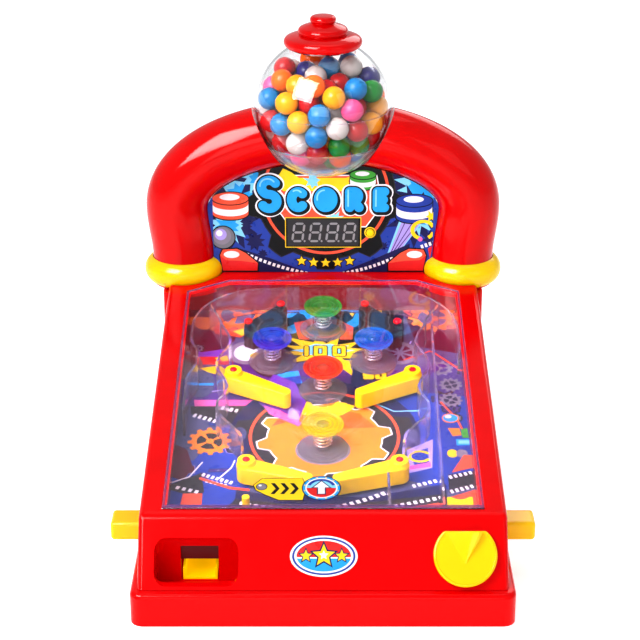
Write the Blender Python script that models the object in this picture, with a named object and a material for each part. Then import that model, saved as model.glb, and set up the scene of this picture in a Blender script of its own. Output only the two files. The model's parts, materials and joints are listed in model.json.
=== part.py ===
"""Tabletop pinball toy with a gumball globe on an arch, as separate named pieces.

Metres, +Z up. The origin is the middle of the base's footprint, on the table; the player
stands at -Y. Pieces of the play space are built in the frame of the tilted playfield:
x across, s up the slope from the front, h above the playfield's surface.
"""
import math

import bmesh
import bpy
from mathutils import Matrix, Vector

# ---------------------------------------------------------------- driving dimensions
GAP = 0.0003

BASE_WIDTH = 0.242
BASE_DEPTH = 0.370
BASE_HEIGHT = 0.0225
BASE_WALL = 0.0030
BATTERY_BAY = (0.034, 0.2150, 0.2870)
SWITCH_SLOT = (0.0600, 0.0720, 0.2860, 0.2930)

HOUSING_WIDTH = 0.2330
HOUSING_FRONT = 0.0059
PANEL_TOP = (0.0336, 0.0614)
DECK_TILT = math.radians(10.45)
DECK_END = 0.3105
PAD_HEIGHT = PANEL_TOP[1] + (DECK_END - PANEL_TOP[0]) * math.tan(DECK_TILT)
HOUSING_BACK = 0.3660
HOUSING_WALL = 0.0025

PLAY_DEPTH = 0.0285
TRAY_HALF = 0.1015
TRAY_FRONT_S = 0.0080
TRAY_BACK_S = 0.2820
TRAY_WALL = 0.0016
TRAY_FLOOR = 0.0020

COVER_HALF = 0.1022
COVER_FRONT_S = 0.0055
COVER_CORNER_S = 0.2640
COVER_BACK_S = 0.2800
COVER_BACK_HALF = 0.0710
COVER_SEAT = 0.0014
COVER_RISE = 0.0007
WINDOW_LIP = 0.0030

ARCH_Y = 0.3330
ARCH_TUBE = 0.0235
ARCH_WALL = 0.0025
ARCH_FOOT_X = 0.1066
ARCH_FOOT_Z = 0.1045
ARCH_STRAIGHT = 0.0220
ARCH_HALF = 0.1105
ARCH_RISE = 0.0584
ARCH_SPRING_Z = 0.1650

COLLAR_Z = 0.1153
COLLAR_RING = 0.0192
COLLAR_BEAD = 0.0108
SEAT_Z = 0.1042
SEAT_RADIUS = 0.0305
BOSS_RADIUS = 0.0325
BOSS_LOW = 0.1012
THROATS = ((-0.1035, 0.0092), (0.1035, 0.0050))

GLOBE_Z = 0.2424
GLOBE_RADIUS = 0.0507
GLOBE_WALL = 0.0016
GLOBE_MOUTH = 0.0235
OUTLET_RADIUS = 0.0100
SADDLE_GAP = 0.0009
SADDLE_WALL = 0.0012
SADDLE_CLEARANCE = 0.0532
CAP_RADII = (0.0290, 0.0183, 0.0098)
CAP_LEVELS = (0.2866, 0.2997, 0.3073, 0.3125)

BACKGLASS_Y = 0.3265
BACKGLASS_THICK = 0.0030

BUMPERS = (("green", 0.0, 0.2550), ("blue", -0.0370, 0.2115), ("cyan", 0.0370, 0.2115),
           ("orange", 0.0, 0.1745), ("yellow", 0.0, 0.1060))
BUMPER_CAP = 0.0142
BUMPER_BASE = 0.0175
BUMPER_HEIGHT = 0.0205
SPRING_RADIUS = 0.0052

FLIPPER_LENGTH = 0.0470
FLIPPER_BOSS = 0.0066
FLIPPER_TIP = 0.0042
FLIPPER_HUB = 0.0060
FLIPPER_FACES = (0.0024, 0.0155, 0.0190)
POCKET_CORNER = 0.0070
FLIPPERS = (("lower", 0.0510, 0.0690, math.radians(-19.0)), ("upper", 0.0638, 0.1744, math.radians(-30.0)))
SHAFT_RADIUS = 0.0025
CRANK_RADIUS = 0.0110
CRANK_REACH = 0.0128

LANE_X = 0.0890
DIVIDER_X = 0.0785
LAUNCH_H = 0.0081
BALL_RADIUS = 0.0060

BUTTON_BOX = (0.0640, 0.0840, 0.0255, 0.0385)
BUTTON_OUT = 0.1385
BUTTON_IN = 0.1125
BAR_X = 0.0985
BAR_H = (-0.0085, -0.0060)

CHUTE_X = -0.0785
CHUTE_FRONT = 0.0350
CHUTE_LOW = 0.0140
CHUTE_HIGH = 0.0445
WHEEL_X = -0.0830
WHEEL_Z = 0.0640
WHEEL_RADIUS = 0.0290
WHEEL_HEIGHT = 0.0140
POCKET_X = (-0.1060, -0.0530)
POCKET_BACK = 0.0345
POCKET_FLOOR = 0.0132

RED = (0.80, 0.010, 0.012)
YELLOW = (0.95, 0.78, 0.01)
CLEAR = (0.88, 0.86, 0.92)
STEEL = (0.75, 0.75, 0.76)
BLACK = (0.02, 0.02, 0.02)


# ---------------------------------------------------------------- placing and making
def back(distance):
    """World Y of a place the given distance behind the base's front edge."""
    return distance - BASE_DEPTH / 2


def clear_scene():
    for obj in list(bpy.data.objects):
        bpy.data.objects.remove(obj, do_unlink=True)


def material(name, colour, roughness=0.3, metallic=0.0, transmission=0.0):
    if name in bpy.data.materials:
        return bpy.data.materials[name]
    mat = bpy.data.materials.new(name)
    mat.use_nodes = True
    shader = mat.node_tree.nodes["Principled BSDF"]
    shader.inputs["Base Color"].default_value = (*colour, 1.0)
    shader.inputs["Roughness"].default_value = roughness
    shader.inputs["Metallic"].default_value = metallic
    shader.inputs["Transmission Weight"].default_value = transmission
    return mat


def red():
    return material("red_plastic", RED, 0.15)


def yellow():
    return material("yellow_plastic", YELLOW, 0.2)


def clear():
    return material("clear_plastic", CLEAR, 0.03, 0.0, 0.9)


def steel():
    return material("steel", STEEL, 0.2, 1.0)


def black():
    return material("black_plastic", BLACK, 0.35)


def finish(name, bm, mat, parent=None, location=(0, 0, 0), smooth=35):
    """Turn a bmesh into a named object, smooth-shaded up to the given angle."""
    bmesh.ops.recalc_face_normals(bm, faces=bm.faces[:])
    mesh = bpy.data.meshes.new(name)
    bm.to_mesh(mesh)
    bm.free()
    mesh.materials.append(mat)
    mesh.shade_smooth()
    mesh.set_sharp_from_angle(angle=math.radians(smooth))
    obj = bpy.data.objects.new(name, mesh)
    bpy.context.collection.objects.link(obj)
    obj.location = location
    obj.parent = parent
    return obj


def boolean(obj, tool_bm, operation="DIFFERENCE"):
    """Cut or join a temporary tool, given in the object's own space, and drop the tool."""
    bmesh.ops.recalc_face_normals(tool_bm, faces=tool_bm.faces[:])
    mesh = bpy.data.meshes.new("tool")
    tool_bm.to_mesh(mesh)
    tool_bm.free()
    tool = bpy.data.objects.new("tool", mesh)
    bpy.context.collection.objects.link(tool)
    tool.parent = obj.parent
    tool.location = obj.location
    step = obj.modifiers.new("step", "BOOLEAN")
    step.operation = operation
    step.object = tool
    bpy.context.view_layer.update()
    depsgraph = bpy.context.evaluated_depsgraph_get()
    result = bpy.data.meshes.new_from_object(obj.evaluated_get(depsgraph))
    obj.modifiers.remove(step)
    old = obj.data
    obj.data = result
    bpy.data.meshes.remove(old)
    bpy.data.objects.remove(tool, do_unlink=True)
    result.shade_smooth()
    result.set_sharp_from_angle(angle=math.radians(35))
    return obj


def box(low, high, bevel=0.0, segments=2):
    bm = bmesh.new()
    bmesh.ops.create_cube(bm, size=1.0)
    size = Vector(high) - Vector(low)
    centre = (Vector(high) + Vector(low)) / 2
    bmesh.ops.transform(bm, matrix=Matrix.Translation(centre) @ Matrix.Diagonal((*size, 1.0)), verts=bm.verts)
    if bevel:
        bmesh.ops.bevel(bm, geom=bm.edges[:], offset=bevel, segments=segments, affect="EDGES", profile=0.5)
    return bm


def prism(outline, low, high, plane="XY"):
    """Extrude a closed outline. XY runs along Z, YZ runs along X and XZ runs along Y."""
    bm = bmesh.new()
    place = {"XY": lambda a, b, c: (a, b, c),
             "YZ": lambda a, b, c: (c, a, b),
             "XZ": lambda a, b, c: (a, c, b)}[plane]
    ends = [[bm.verts.new(place(a, b, level)) for a, b in outline] for level in (low, high)]
    bm.faces.new(ends[0])
    bm.faces.new(ends[1])
    count = len(outline)
    for i in range(count):
        j = (i + 1) % count
        bm.faces.new((ends[0][i], ends[0][j], ends[1][j], ends[1][i]))
    bmesh.ops.recalc_face_normals(bm, faces=bm.faces[:])
    return bm


def turned(profile, steps=32, matrix=None):
    """Turn a closed profile of (radius, height) about Z; radius 0 points sit on the axis."""
    bm = bmesh.new()
    rings = []
    for radius, height in profile:
        if radius < 1e-7:
            rings.append([bm.verts.new((0, 0, height))])
            continue
        ring = []
        for k in range(steps):
            angle = 2 * math.pi * k / steps
            ring.append(bm.verts.new((radius * math.cos(angle), radius * math.sin(angle), height)))
        rings.append(ring)
    for first, second in zip(rings, rings[1:] + rings[:1]):
        if len(first) == 1 and len(second) == 1:
            continue
        for k in range(steps):
            m = (k + 1) % steps
            if len(first) == 1:
                bm.faces.new((first[0], second[k], second[m]))
            elif len(second) == 1:
                bm.faces.new((first[k], first[m], second[0]))
            else:
                bm.faces.new((first[k], first[m], second[m], second[k]))
    bmesh.ops.recalc_face_normals(bm, faces=bm.faces[:])
    if matrix:
        bmesh.ops.transform(bm, matrix=matrix, verts=bm.verts)
    return bm


def rod(radius, low, high, steps=20, matrix=None):
    return turned([(0, low), (radius, low), (radius, high), (0, high)], steps, matrix)


def arc(centre, radius, start, end, count):
    """Points on a circle between two angles in degrees."""
    points = []
    for k in range(count + 1):
        angle = math.radians(start + (end - start) * k / count)
        points.append((centre[0] + radius * math.cos(angle), centre[1] + radius * math.sin(angle)))
    return points


def sphere_between(radius, low_deg, high_deg, count):
    """Profile points of a sphere at the origin, from one latitude to another."""
    return arc((0, 0), radius, low_deg, high_deg, count)


def sweep(path, section):
    """Sweep a closed section (side, up) along a path of (point, side, up) frames, with end caps."""
    bm = bmesh.new()
    rings = []
    for point, side, up in path:
        rings.append([bm.verts.new(point + side * a + up * b) for a, b in section])
    count = len(section)
    for first, second in zip(rings, rings[1:]):
        for k in range(count):
            m = (k + 1) % count
            bm.faces.new((first[k], first[m], second[m], second[k]))
    bm.faces.new(rings[0])
    bm.faces.new(rings[-1])
    bmesh.ops.recalc_face_normals(bm, faces=bm.faces[:])
    return bm


def ribbon(points, thickness, low, high):
    """Upright wall that follows a path of plan points, mitred at its corners."""
    left, right = [], []
    for i, point in enumerate(points):
        here = Vector(point)
        ahead = (Vector(points[min(i + 1, len(points) - 1)]) - here)
        behind = (here - Vector(points[max(i - 1, 0)]))
        ahead = ahead.normalized() if ahead.length else behind.normalized()
        behind = behind.normalized() if behind.length else ahead
        along = (ahead + behind).normalized()
        normal = Vector((-along.y, along.x))
        reach = thickness / 2 / max(0.6, along.dot(ahead))
        left.append(tuple(here + normal * reach))
        right.append(tuple(here - normal * reach))
    return prism(left + right[::-1], low, high)


def coil(radius, wire, turns, height, steps=9, sides=4):
    """Round-wire coil standing on the origin; its end turns stay inside the height."""
    bm = bmesh.new()
    rings = []
    total = int(turns * steps)
    rise = height - 2 * wire
    for k in range(total + 1):
        angle = 2 * math.pi * k / steps
        out = Vector((math.cos(angle), math.sin(angle), 0))
        centre = out * radius + Vector((0, 0, wire + rise * k / total))
        ring = []
        for m in range(sides):
            turn = 2 * math.pi * m / sides
            lift = Vector((0, 0, wire * math.sin(turn)))
            ring.append(bm.verts.new(centre + out * wire * math.cos(turn) + lift))
        rings.append(ring)
    for first, second in zip(rings, rings[1:]):
        for k in range(sides):
            m = (k + 1) % sides
            bm.faces.new((first[k], first[m], second[m], second[k]))
    bm.faces.new(rings[0])
    bm.faces.new(rings[-1])
    bmesh.ops.recalc_face_normals(bm, faces=bm.faces[:])
    return bm


def play_frame():
    """Empty on the playfield's surface, below the front panel's top edge."""
    frame = bpy.data.objects.new("playfield_frame", None)
    bpy.context.collection.objects.link(frame)
    frame.location = (0, back(PANEL_TOP[0]) + PLAY_DEPTH * math.sin(DECK_TILT),
                      PANEL_TOP[1] - PLAY_DEPTH * math.cos(DECK_TILT))
    frame.rotation_euler = (DECK_TILT, 0, 0)
    return frame


# ---------------------------------------------------------------- base and housing
def rounded_rectangle(half_x, low_y, high_y, radius, count=4):
    points = arc((half_x - radius, high_y - radius), radius, 0, 90, count)
    points += arc((-half_x + radius, high_y - radius), radius, 90, 180, count)
    points += arc((-half_x + radius, low_y + radius), radius, 180, 270, count)
    points += arc((half_x - radius, low_y + radius), radius, 270, 360, count)
    return points


def base_plinth():
    half = BASE_WIDTH / 2
    outer = rounded_rectangle(half, back(0), back(BASE_DEPTH), 0.008)
    bm = prism(outer, 0, BASE_HEIGHT)
    top = [e for e in bm.edges if all(v.co.z > BASE_HEIGHT - 1e-6 for v in e.verts)]
    bmesh.ops.bevel(bm, geom=top, offset=0.003, segments=3, affect="EDGES", profile=0.5)
    plinth = finish("base_plinth", bm, red())
    inner = rounded_rectangle(half - BASE_WALL - 0.0045, back(0.009), back(BASE_DEPTH - 0.009), 0.004)
    boolean(plinth, prism(inner, BASE_WALL, BASE_HEIGHT + 0.01))
    half, near, far = BATTERY_BAY
    boolean(plinth, box((-half, back(near), -0.01), (half, back(far), 0.01)))
    left, right, near, far = SWITCH_SLOT
    return boolean(plinth, box((left, back(near), -0.01), (right, back(far), 0.01)))


def housing_side(inset=0.0, floor=None):
    """Side outline (distance as world Y, height) of the housing, pulled in by the inset."""
    floor = BASE_HEIGHT + GAP if floor is None else floor
    rise = (PANEL_TOP[1] - BASE_HEIGHT) / (PANEL_TOP[0] - HOUSING_FRONT)
    slant = inset * math.sqrt(1 + rise * rise) / rise
    drop = inset / math.cos(DECK_TILT)

    def panel_y(height):
        return HOUSING_FRONT + slant + (height - BASE_HEIGHT) / rise

    corner_z = (PANEL_TOP[1] - drop + (HOUSING_FRONT + slant - PANEL_TOP[0] - BASE_HEIGHT / rise)
                * math.tan(DECK_TILT)) / (1 - math.tan(DECK_TILT) / rise)
    return [(back(panel_y(floor)), floor),
            (back(panel_y(corner_z)), corner_z),
            (back(DECK_END), PAD_HEIGHT - inset),
            (back(HOUSING_BACK - inset), PAD_HEIGHT - inset),
            (back(HOUSING_BACK - inset), floor)]


def cover_outline(margin):
    """Plan outline of the clear cover in playfield coordinates, grown by the margin."""
    half = COVER_HALF + margin
    return [(-half, COVER_FRONT_S - margin), (half, COVER_FRONT_S - margin),
            (half, COVER_CORNER_S + margin * 0.5), (COVER_BACK_HALF + margin * 0.5, COVER_BACK_S + margin),
            (-COVER_BACK_HALF - margin * 0.5, COVER_BACK_S + margin), (-half, COVER_CORNER_S + margin * 0.5)]


def play_prism(outline, low, high):
    """Prism in playfield coordinates, turned into the world's."""
    bm = prism(outline, low, high)
    matrix = (Matrix.Translation((0, back(PANEL_TOP[0]) + PLAY_DEPTH * math.sin(DECK_TILT),
                                  PANEL_TOP[1] - PLAY_DEPTH * math.cos(DECK_TILT)))
              @ Matrix.Rotation(DECK_TILT, 4, "X"))
    bmesh.ops.transform(bm, matrix=matrix, verts=bm.verts)
    return bm


def housing_cavity():
    """Space inside the housing, less the dispenser pocket's block and the bosses under the arch."""
    inner_half = HOUSING_WIDTH / 2 - HOUSING_WALL
    bm = prism(housing_side(HOUSING_WALL, BASE_HEIGHT - 0.01), -inner_half, inner_half, "YZ")
    space = finish("housing_cavity", bm, red())
    boolean(space, box((POCKET_X[0] - 0.002, back(-0.02), BASE_HEIGHT - 0.02),
                       (POCKET_X[1] + 0.002, back(POCKET_BACK + 0.002), 0.0515)))
    for side in (-1, 1):
        boolean(space, rod(BOSS_RADIUS, BOSS_LOW, 0.14, 40, foot_matrix(side)))
    bm = bmesh.new()
    bm.from_mesh(space.data)
    bpy.data.objects.remove(space, do_unlink=True)
    return bm


def foot_matrix(side):
    return Matrix.Translation((side * ARCH_FOOT_X, back(ARCH_Y), 0))


def upper_housing():
    half = HOUSING_WIDTH / 2
    bm = prism(housing_side(), -half, half, "YZ")
    rounded = [e for e in bm.edges if max(v.co.z for v in e.verts) > BASE_HEIGHT + 0.002
               and not all(abs(v.co.y - back(DECK_END)) < 1e-6 for v in e.verts)]
    bmesh.ops.bevel(bm, geom=rounded, offset=0.0035, segments=3, affect="EDGES", profile=0.5)
    housing = finish("upper_housing", bm, red())
    for side in (-1, 1):
        xs = sorted((side * (half - 0.006), side * 0.1210))
        bump = box((xs[0], back(0.3050), BASE_HEIGHT + GAP),
                   (xs[1], back(HOUSING_BACK - 0.0008), PAD_HEIGHT - 0.0006))
        edges = [e for e in bump.edges if abs(e.verts[0].co.z - e.verts[1].co.z) > 0.01]
        bmesh.ops.bevel(bump, geom=edges, offset=0.003, segments=3, affect="EDGES", profile=0.5)
        boolean(housing, bump, "UNION")
    boolean(housing, housing_cavity())
    boolean(housing, box((POCKET_X[0] - 0.0015, back(0.0112), POCKET_FLOOR - 0.0015),
                         (POCKET_X[1] + 0.0015, back(POCKET_BACK + 0.0015), 0.0300)), "UNION")
    boolean(housing, box((POCKET_X[0], back(-0.02), BASE_HEIGHT + 0.0022),
                         (POCKET_X[1], back(POCKET_BACK), 0.0495), POCKET_CORNER, 4))
    boolean(housing, box((POCKET_X[0] + 0.0004, back(0.0127), POCKET_FLOOR),
                         (POCKET_X[1] - 0.0004, back(POCKET_BACK - 0.0004), 0.0350)))
    boolean(housing, box((CHUTE_X - 0.0120, back(0.0280), CHUTE_LOW - GAP),
                         (CHUTE_X + 0.0120, back(0.0600), 0.0385)))
    boolean(housing, play_prism(cover_outline(GAP), PLAY_DEPTH - COVER_SEAT, PLAY_DEPTH + 0.02))
    boolean(housing, play_prism(cover_outline(-WINDOW_LIP), PLAY_DEPTH - 0.01, PLAY_DEPTH + 0.02))
    for side in (-1, 1):
        boolean(housing, rod(SEAT_RADIUS, SEAT_Z, 0.14, 40, foot_matrix(side)))
        y0, y1, z0, z1 = BUTTON_BOX
        xs = sorted((side * 0.10, side * 0.13))
        boolean(housing, box((xs[0], back(y0 - 0.0005), z0 - 0.0005),
                             (xs[1], back(y1 + 0.0005), z1 + 0.0005)))
    for x, radius in THROATS:
        boolean(housing, rod(radius, 0.09, 0.12, 20, Matrix.Translation((x, back(ARCH_Y), 0))))
    return boolean(housing, rod(0.0040, -0.03, 0.03, 20, launch_matrix(0)))


def launch_matrix(s):
    """Local Z runs along the launch axis, up the slope, from the given s."""
    base = Matrix.Translation((0, back(PANEL_TOP[0]) + PLAY_DEPTH * math.sin(DECK_TILT),
                               PANEL_TOP[1] - PLAY_DEPTH * math.cos(DECK_TILT)))
    tilt = base @ Matrix.Rotation(DECK_TILT, 4, "X")
    return tilt @ Matrix.Translation((LANE_X, s, LAUNCH_H)) @ Matrix.Rotation(-math.pi / 2, 4, "X")


def battery_door():
    half, near, far = BATTERY_BAY
    bm = box((-half + GAP, back(near) + GAP, 0.0), (half - GAP, back(far) - GAP, 0.0024))
    return finish("battery_door", bm, red())


def battery_pack():
    radius = 0.0070
    ring = [((k - 1) * 2 * radius * 0.96, 0.0115) for k in range(3)]
    outline = arc(ring[0], radius, 90, 270, 6) + arc(ring[1], radius, 240, 300, 3)
    outline += arc(ring[2], radius, 270, 450, 6) + arc(ring[1], radius, 60, 120, 3)
    bm = prism(outline, back(BATTERY_BAY[1] + 0.010), back(BATTERY_BAY[2] - 0.010), "XZ")
    return finish("battery_pack", bm, material("battery_wrap", (0.10, 0.10, 0.12), 0.4))


def power_switch():
    body = box((0.0610, back(0.2868), 0.0008), (0.0660, back(0.2922), 0.0045))
    switch = finish("power_switch", body, black())
    boolean(switch, box((0.0585, back(0.2845), BASE_WALL + GAP), (0.0695, back(0.2945), 0.0050)), "UNION")
    return switch


# ---------------------------------------------------------------- play space
def playfield_tray(frame):
    half = TRAY_HALF + TRAY_WALL
    outer = [(-half, TRAY_FRONT_S - TRAY_WALL), (half, TRAY_FRONT_S - TRAY_WALL),
             (half, TRAY_BACK_S + TRAY_WALL), (-half, TRAY_BACK_S + TRAY_WALL)]
    top = PLAY_DEPTH - HOUSING_WALL - 0.0006
    printed = material("printed_board", (0.05, 0.08, 0.35), 0.3)
    tray = finish("playfield_tray", prism(outer, -TRAY_FLOOR, top), printed, frame)
    boolean(tray, box((-TRAY_HALF, TRAY_FRONT_S, 0), (TRAY_HALF, TRAY_BACK_S, 0.05)))
    for side in (-1, 1):
        for _, x, s, _ in FLIPPERS:
            boolean(tray, rod(SHAFT_RADIUS + 0.0004, -0.01, 0.01, 16, Matrix.Translation((side * x, s, 0))))
    boolean(tray, box((LANE_X - 0.0035, TRAY_FRONT_S - 0.01, LAUNCH_H - 0.0035),
                      (LANE_X + 0.0035, TRAY_FRONT_S + 0.002, LAUNCH_H + 0.0035)))
    for side in (-1, 1):
        tool = rod(BOSS_RADIUS + GAP, BOSS_LOW - GAP, 0.14, 32, foot_matrix(side))
        bmesh.ops.transform(tool, matrix=frame.matrix_world.inverted(), verts=tool.verts)
        boolean(tray, tool)
    return tray


def clear_cover(frame):
    bm = prism(cover_outline(0), PLAY_DEPTH - COVER_SEAT + GAP, PLAY_DEPTH + COVER_RISE)
    return finish("clear_cover", bm, clear(), frame)


def rail_paths(side):
    """Outer sweep along the top corner and side, and the scalloped inner wall."""
    outer = [(-0.0180, 0.2785), (-0.0420, 0.2770)]
    if side < 0:
        outer += arc((-0.0440, 0.2250), 0.0520, 95, 180, 9)
        outer += [(-0.0960, 0.2080), (-0.0905, 0.1930), (-0.0905, 0.1760)]
        outer += [(-0.0960, 0.1600), (-0.0960, 0.1200)]
    else:
        outer += arc((-0.0440, 0.2230), 0.0545, 95, 180, 9) + [(-0.0985, 0.1950)]
    inner = []
    for k in range(17):
        s = 0.2350 - k * 0.0095
        sway = 0.0045 * math.cos(2 * math.pi * (0.2350 - s) / 0.058)
        inner.append((-0.0715 - sway + max(0.0, 0.1300 - s) * 0.30, s))
    return [(-side * x, s) for x, s in outer], [(-side * x, s) for x, s in inner]


def ball_rail(side, name, frame):
    outer, inner = rail_paths(side)
    height = PLAY_DEPTH - HOUSING_WALL - 0.0035
    rail = finish(name, ribbon(outer, 0.0018, GAP, height), clear(), frame)
    boolean(rail, ribbon(inner, 0.0018, GAP, height), "UNION")
    boolean(rail, ribbon([outer[7], inner[0]], 0.0018, GAP, height), "UNION")
    return rail


def lane_divider(frame):
    height = PLAY_DEPTH - HOUSING_WALL - 0.0035
    bm = ribbon([(DIVIDER_X - 0.0010, 0.0095), (DIVIDER_X + 0.0015, 0.2280)], 0.0018, GAP, height)
    return finish("lane_divider", bm, clear(), frame)


def target_block(side, name, frame):
    """Sloping wedge between two posts, the taller post at the back."""
    plan = [(0.0270, 0.2610), (0.0270, 0.2470), (0.0515, 0.2265)]
    plan += [(0.0585, 0.2310), (0.0585, 0.2380), (0.0345, 0.2640)]
    block = finish(name, prism([(side * x, s) for x, s in plan], GAP, 0.0160), black(), frame)
    for x, s in ((0.0315, 0.2575), (0.0550, 0.2335)):
        boolean(block, rod(0.0028, 0.010, 0.0205, 16, Matrix.Translation((side * x, s, 0))), "UNION")
    return block


def bumper(name, x, s, frame):
    """Fixed clear base disc, and a spring and cap that rock about the spring's foot."""
    base = turned([(0, GAP), (BUMPER_BASE, GAP), (BUMPER_BASE, 0.0012),
                   (0.0040, 0.0020), (0.0034, 0.0034), (0, 0.0034)], 24)
    finish("bumper_base_" + name, base, clear(), frame, (x, s, 0))
    foot = 0.0045
    top = BUMPER_HEIGHT - 0.0035
    pivot = (x, s, foot)
    spring = coil(SPRING_RADIUS, 0.00045, 4.0, top - foot - 0.0001)
    finish("bumper_spring_" + name, spring, steel(), frame, pivot)
    high = BUMPER_HEIGHT - foot
    low = top - foot + GAP
    cap = turned([(0, low), (0.0060, low), (0.0125, low + 0.0012), (BUMPER_CAP, low + 0.0026),
                  (BUMPER_CAP, low + 0.0038), (0.0120, high), (0.0085, high - 0.0008),
                  (0.0050, high + 0.0006), (0, high + 0.0009)], 24)
    colours = {"green": (0.1, 0.6, 0.1), "blue": (0.05, 0.15, 0.8), "cyan": (0.02, 0.45, 0.85),
               "orange": (0.95, 0.2, 0.05), "yellow": (0.9, 0.9, 0.05)}
    finish("bumper_cap_" + name, cap, material("cap_" + name, colours[name], 0.1, 0.0, 0.5), frame, pivot)


def flipper(side, row, x, s, angle, frame):
    """Arm, boss and shaft about the pivot, and the crank pressed on the shaft's lower end."""
    label = row + ("_left" if side < 0 else "_right")
    reach = FLIPPER_LENGTH - FLIPPER_TIP
    plan = arc((0, 0), FLIPPER_BOSS, 80, 280, 10) + arc((reach, 0), FLIPPER_TIP, -86, 86, 5)
    turn = Matrix.Rotation(angle, 4, "Z")
    points = []
    for a, b in plan:
        p = turn @ Vector((a, b, 0))
        points.append((-side * p.x, p.y))
    blade = prism(points, FLIPPER_FACES[0], FLIPPER_FACES[1])
    arm = finish("flipper_" + label, blade, yellow(), frame, (side * x, s, 0))
    boolean(arm, rod(FLIPPER_HUB, 0.0100, FLIPPER_FACES[2], 20), "UNION")
    boolean(arm, rod(SHAFT_RADIUS, -0.0078, 0.0060, 16), "UNION")
    outline = arc((0, 0), 0.0050, 90, 270, 6) + arc((CRANK_RADIUS, 0), 0.0026, -80, 80, 4)
    aim = Matrix.Rotation(math.radians(200 if side < 0 else -20), 4, "Z")
    crank_points = []
    for a, b in outline:
        p = aim @ Vector((a, b, 0))
        crank_points.append((p.x, p.y))
    lever = prism(crank_points, -0.0076, -0.0052)
    crank = finish("flipper_crank_" + label, lever, black(), frame, (side * x, s, 0))
    boolean(crank, rod(SHAFT_RADIUS + 0.00005, -0.02, 0.02, 16))
    return arm


def flipper_button(side, name, frame):
    """Cap outside the housing, and a bar under the playfield with a finger for each crank."""
    y0, y1, z0, z1 = BUTTON_BOX
    xs = sorted((side * BUTTON_IN, side * BUTTON_OUT))
    button = finish(name, box((xs[0], back(y0), z0), (xs[1], back(y1), z1), 0.0015), yellow())
    xs = sorted((side * (BAR_X - 0.0040), side * (BUTTON_IN + 0.0030)))
    boolean(button, box((xs[0], back(0.0745), 0.0330), (xs[1], back(0.0825), 0.0370)), "UNION")
    edge = BAR_X - 0.0060
    comb = [(edge, 0.0350), (BAR_X, 0.0350), (BAR_X, 0.1720), (edge, 0.1720)]
    for _, x, s, _ in reversed(FLIPPERS):
        reach = x + CRANK_REACH + 0.0030
        comb += [(edge, s - 0.0054), (reach, s - 0.0054), (reach, s - 0.0089), (edge, s - 0.0089)]
    piece = prism([(side * x, s) for x, s in comb], *BAR_H)
    bmesh.ops.transform(piece, matrix=frame.matrix_world, verts=piece.verts)
    return boolean(button, piece, "UNION")


def launcher(frame):
    """Pull knob on its rod, and the striker shoe with a cupped face for the ball."""
    tilt = math.atan2(PANEL_TOP[1] - BASE_HEIGHT, PANEL_TOP[0] - HOUSING_FRONT)
    rest = frame.matrix_world
    panel = Matrix.Translation((LANE_X, 0, 0)) @ Matrix.Rotation(tilt, 4, "X")
    disc = arc((0, 0), 0.0200, -228.5, 48.5, 28)
    bm = prism(disc, 0.0, 0.0042)
    rim = [e for e in bm.edges if all(v.co.z > 0.004 for v in e.verts)]
    bmesh.ops.bevel(bm, geom=rim, offset=0.0012, segments=2, affect="EDGES", profile=0.5)
    along = 0.0258
    centre = Vector((0, back(PANEL_TOP[0] - along * math.cos(tilt)), PANEL_TOP[1] - along * math.sin(tilt)))
    outward = Vector((0, -math.sin(tilt), math.cos(tilt)))
    place = Matrix.Translation(centre + outward * 0.0012) @ panel
    bmesh.ops.transform(bm, matrix=rest.inverted() @ place, verts=bm.verts)
    knob = finish("launcher_knob", bm, yellow(), frame)
    grip = prism([(-0.0105, 0.0138), (0.0105, 0.0138), (0.0015, -0.0030), (-0.0015, -0.0030)], 0.003, 0.0090)
    for v in grip.verts:
        if v.co.z > 0.008 and v.co.y < 0:
            v.co.z = 0.0046
    bmesh.ops.transform(grip, matrix=rest.inverted() @ place, verts=grip.verts)
    boolean(knob, grip, "UNION")
    to_frame = rest.inverted() @ launch_matrix(0)
    boolean(knob, rod(0.0032, -0.0215, 0.0240, 16, to_frame), "UNION")
    boolean(knob, rod(0.0056, 0.0034, 0.0050, 20, to_frame), "UNION")
    block = box((LANE_X - 0.0085, 0.0245, GAP + 0.0003), (LANE_X + 0.0085, 0.0345, 0.0150), 0.0006, 1)
    shoe = finish("striker_shoe", block, yellow(), frame)
    boolean(shoe, rod(BALL_RADIUS + 0.0012, -0.01, 0.03, 24, Matrix.Translation((LANE_X, 0.0385, 0))))
    return knob


def launch_spring(frame):
    bm = coil(0.0044, 0.0005, 4.5, 0.0168)
    matrix = Matrix.Translation((LANE_X, -0.0138, LAUNCH_H)) @ Matrix.Rotation(-math.pi / 2, 4, "X")
    bmesh.ops.transform(bm, matrix=matrix, verts=bm.verts)
    return finish("launch_spring", bm, steel(), frame)


def steel_ball(frame):
    bm = turned([(0, -BALL_RADIUS)] + sphere_between(BALL_RADIUS, -70, 70, 6) + [(0, BALL_RADIUS)], 16)
    place = (0.0, TRAY_FRONT_S + BALL_RADIUS + 0.0004, BALL_RADIUS + GAP)
    return finish("steel_ball", bm, steel(), frame, place, 80)


# ---------------------------------------------------------------- arch, globe and head
def arch_point(t):
    """Centre line of the arch from the left foot (t=0) to the top (t=1): x and z."""
    leg = ARCH_SPRING_Z - ARCH_FOOT_Z
    quarter = 1.5708 * (ARCH_HALF + ARCH_RISE) / 2
    cut = leg / (leg + quarter)
    if t < cut:
        u = t / cut
        lean = max(0.0, (u * leg - ARCH_STRAIGHT) / (leg - ARCH_STRAIGHT))
        ease = lean * lean * (3 - 2 * lean)
        return -(ARCH_FOOT_X + (ARCH_HALF - ARCH_FOOT_X) * ease), ARCH_FOOT_Z + leg * u
    angle = math.pi - (t - cut) / (1 - cut) * math.pi / 2
    return ARCH_HALF * math.cos(angle), ARCH_SPRING_Z + ARCH_RISE * math.sin(angle)


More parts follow.
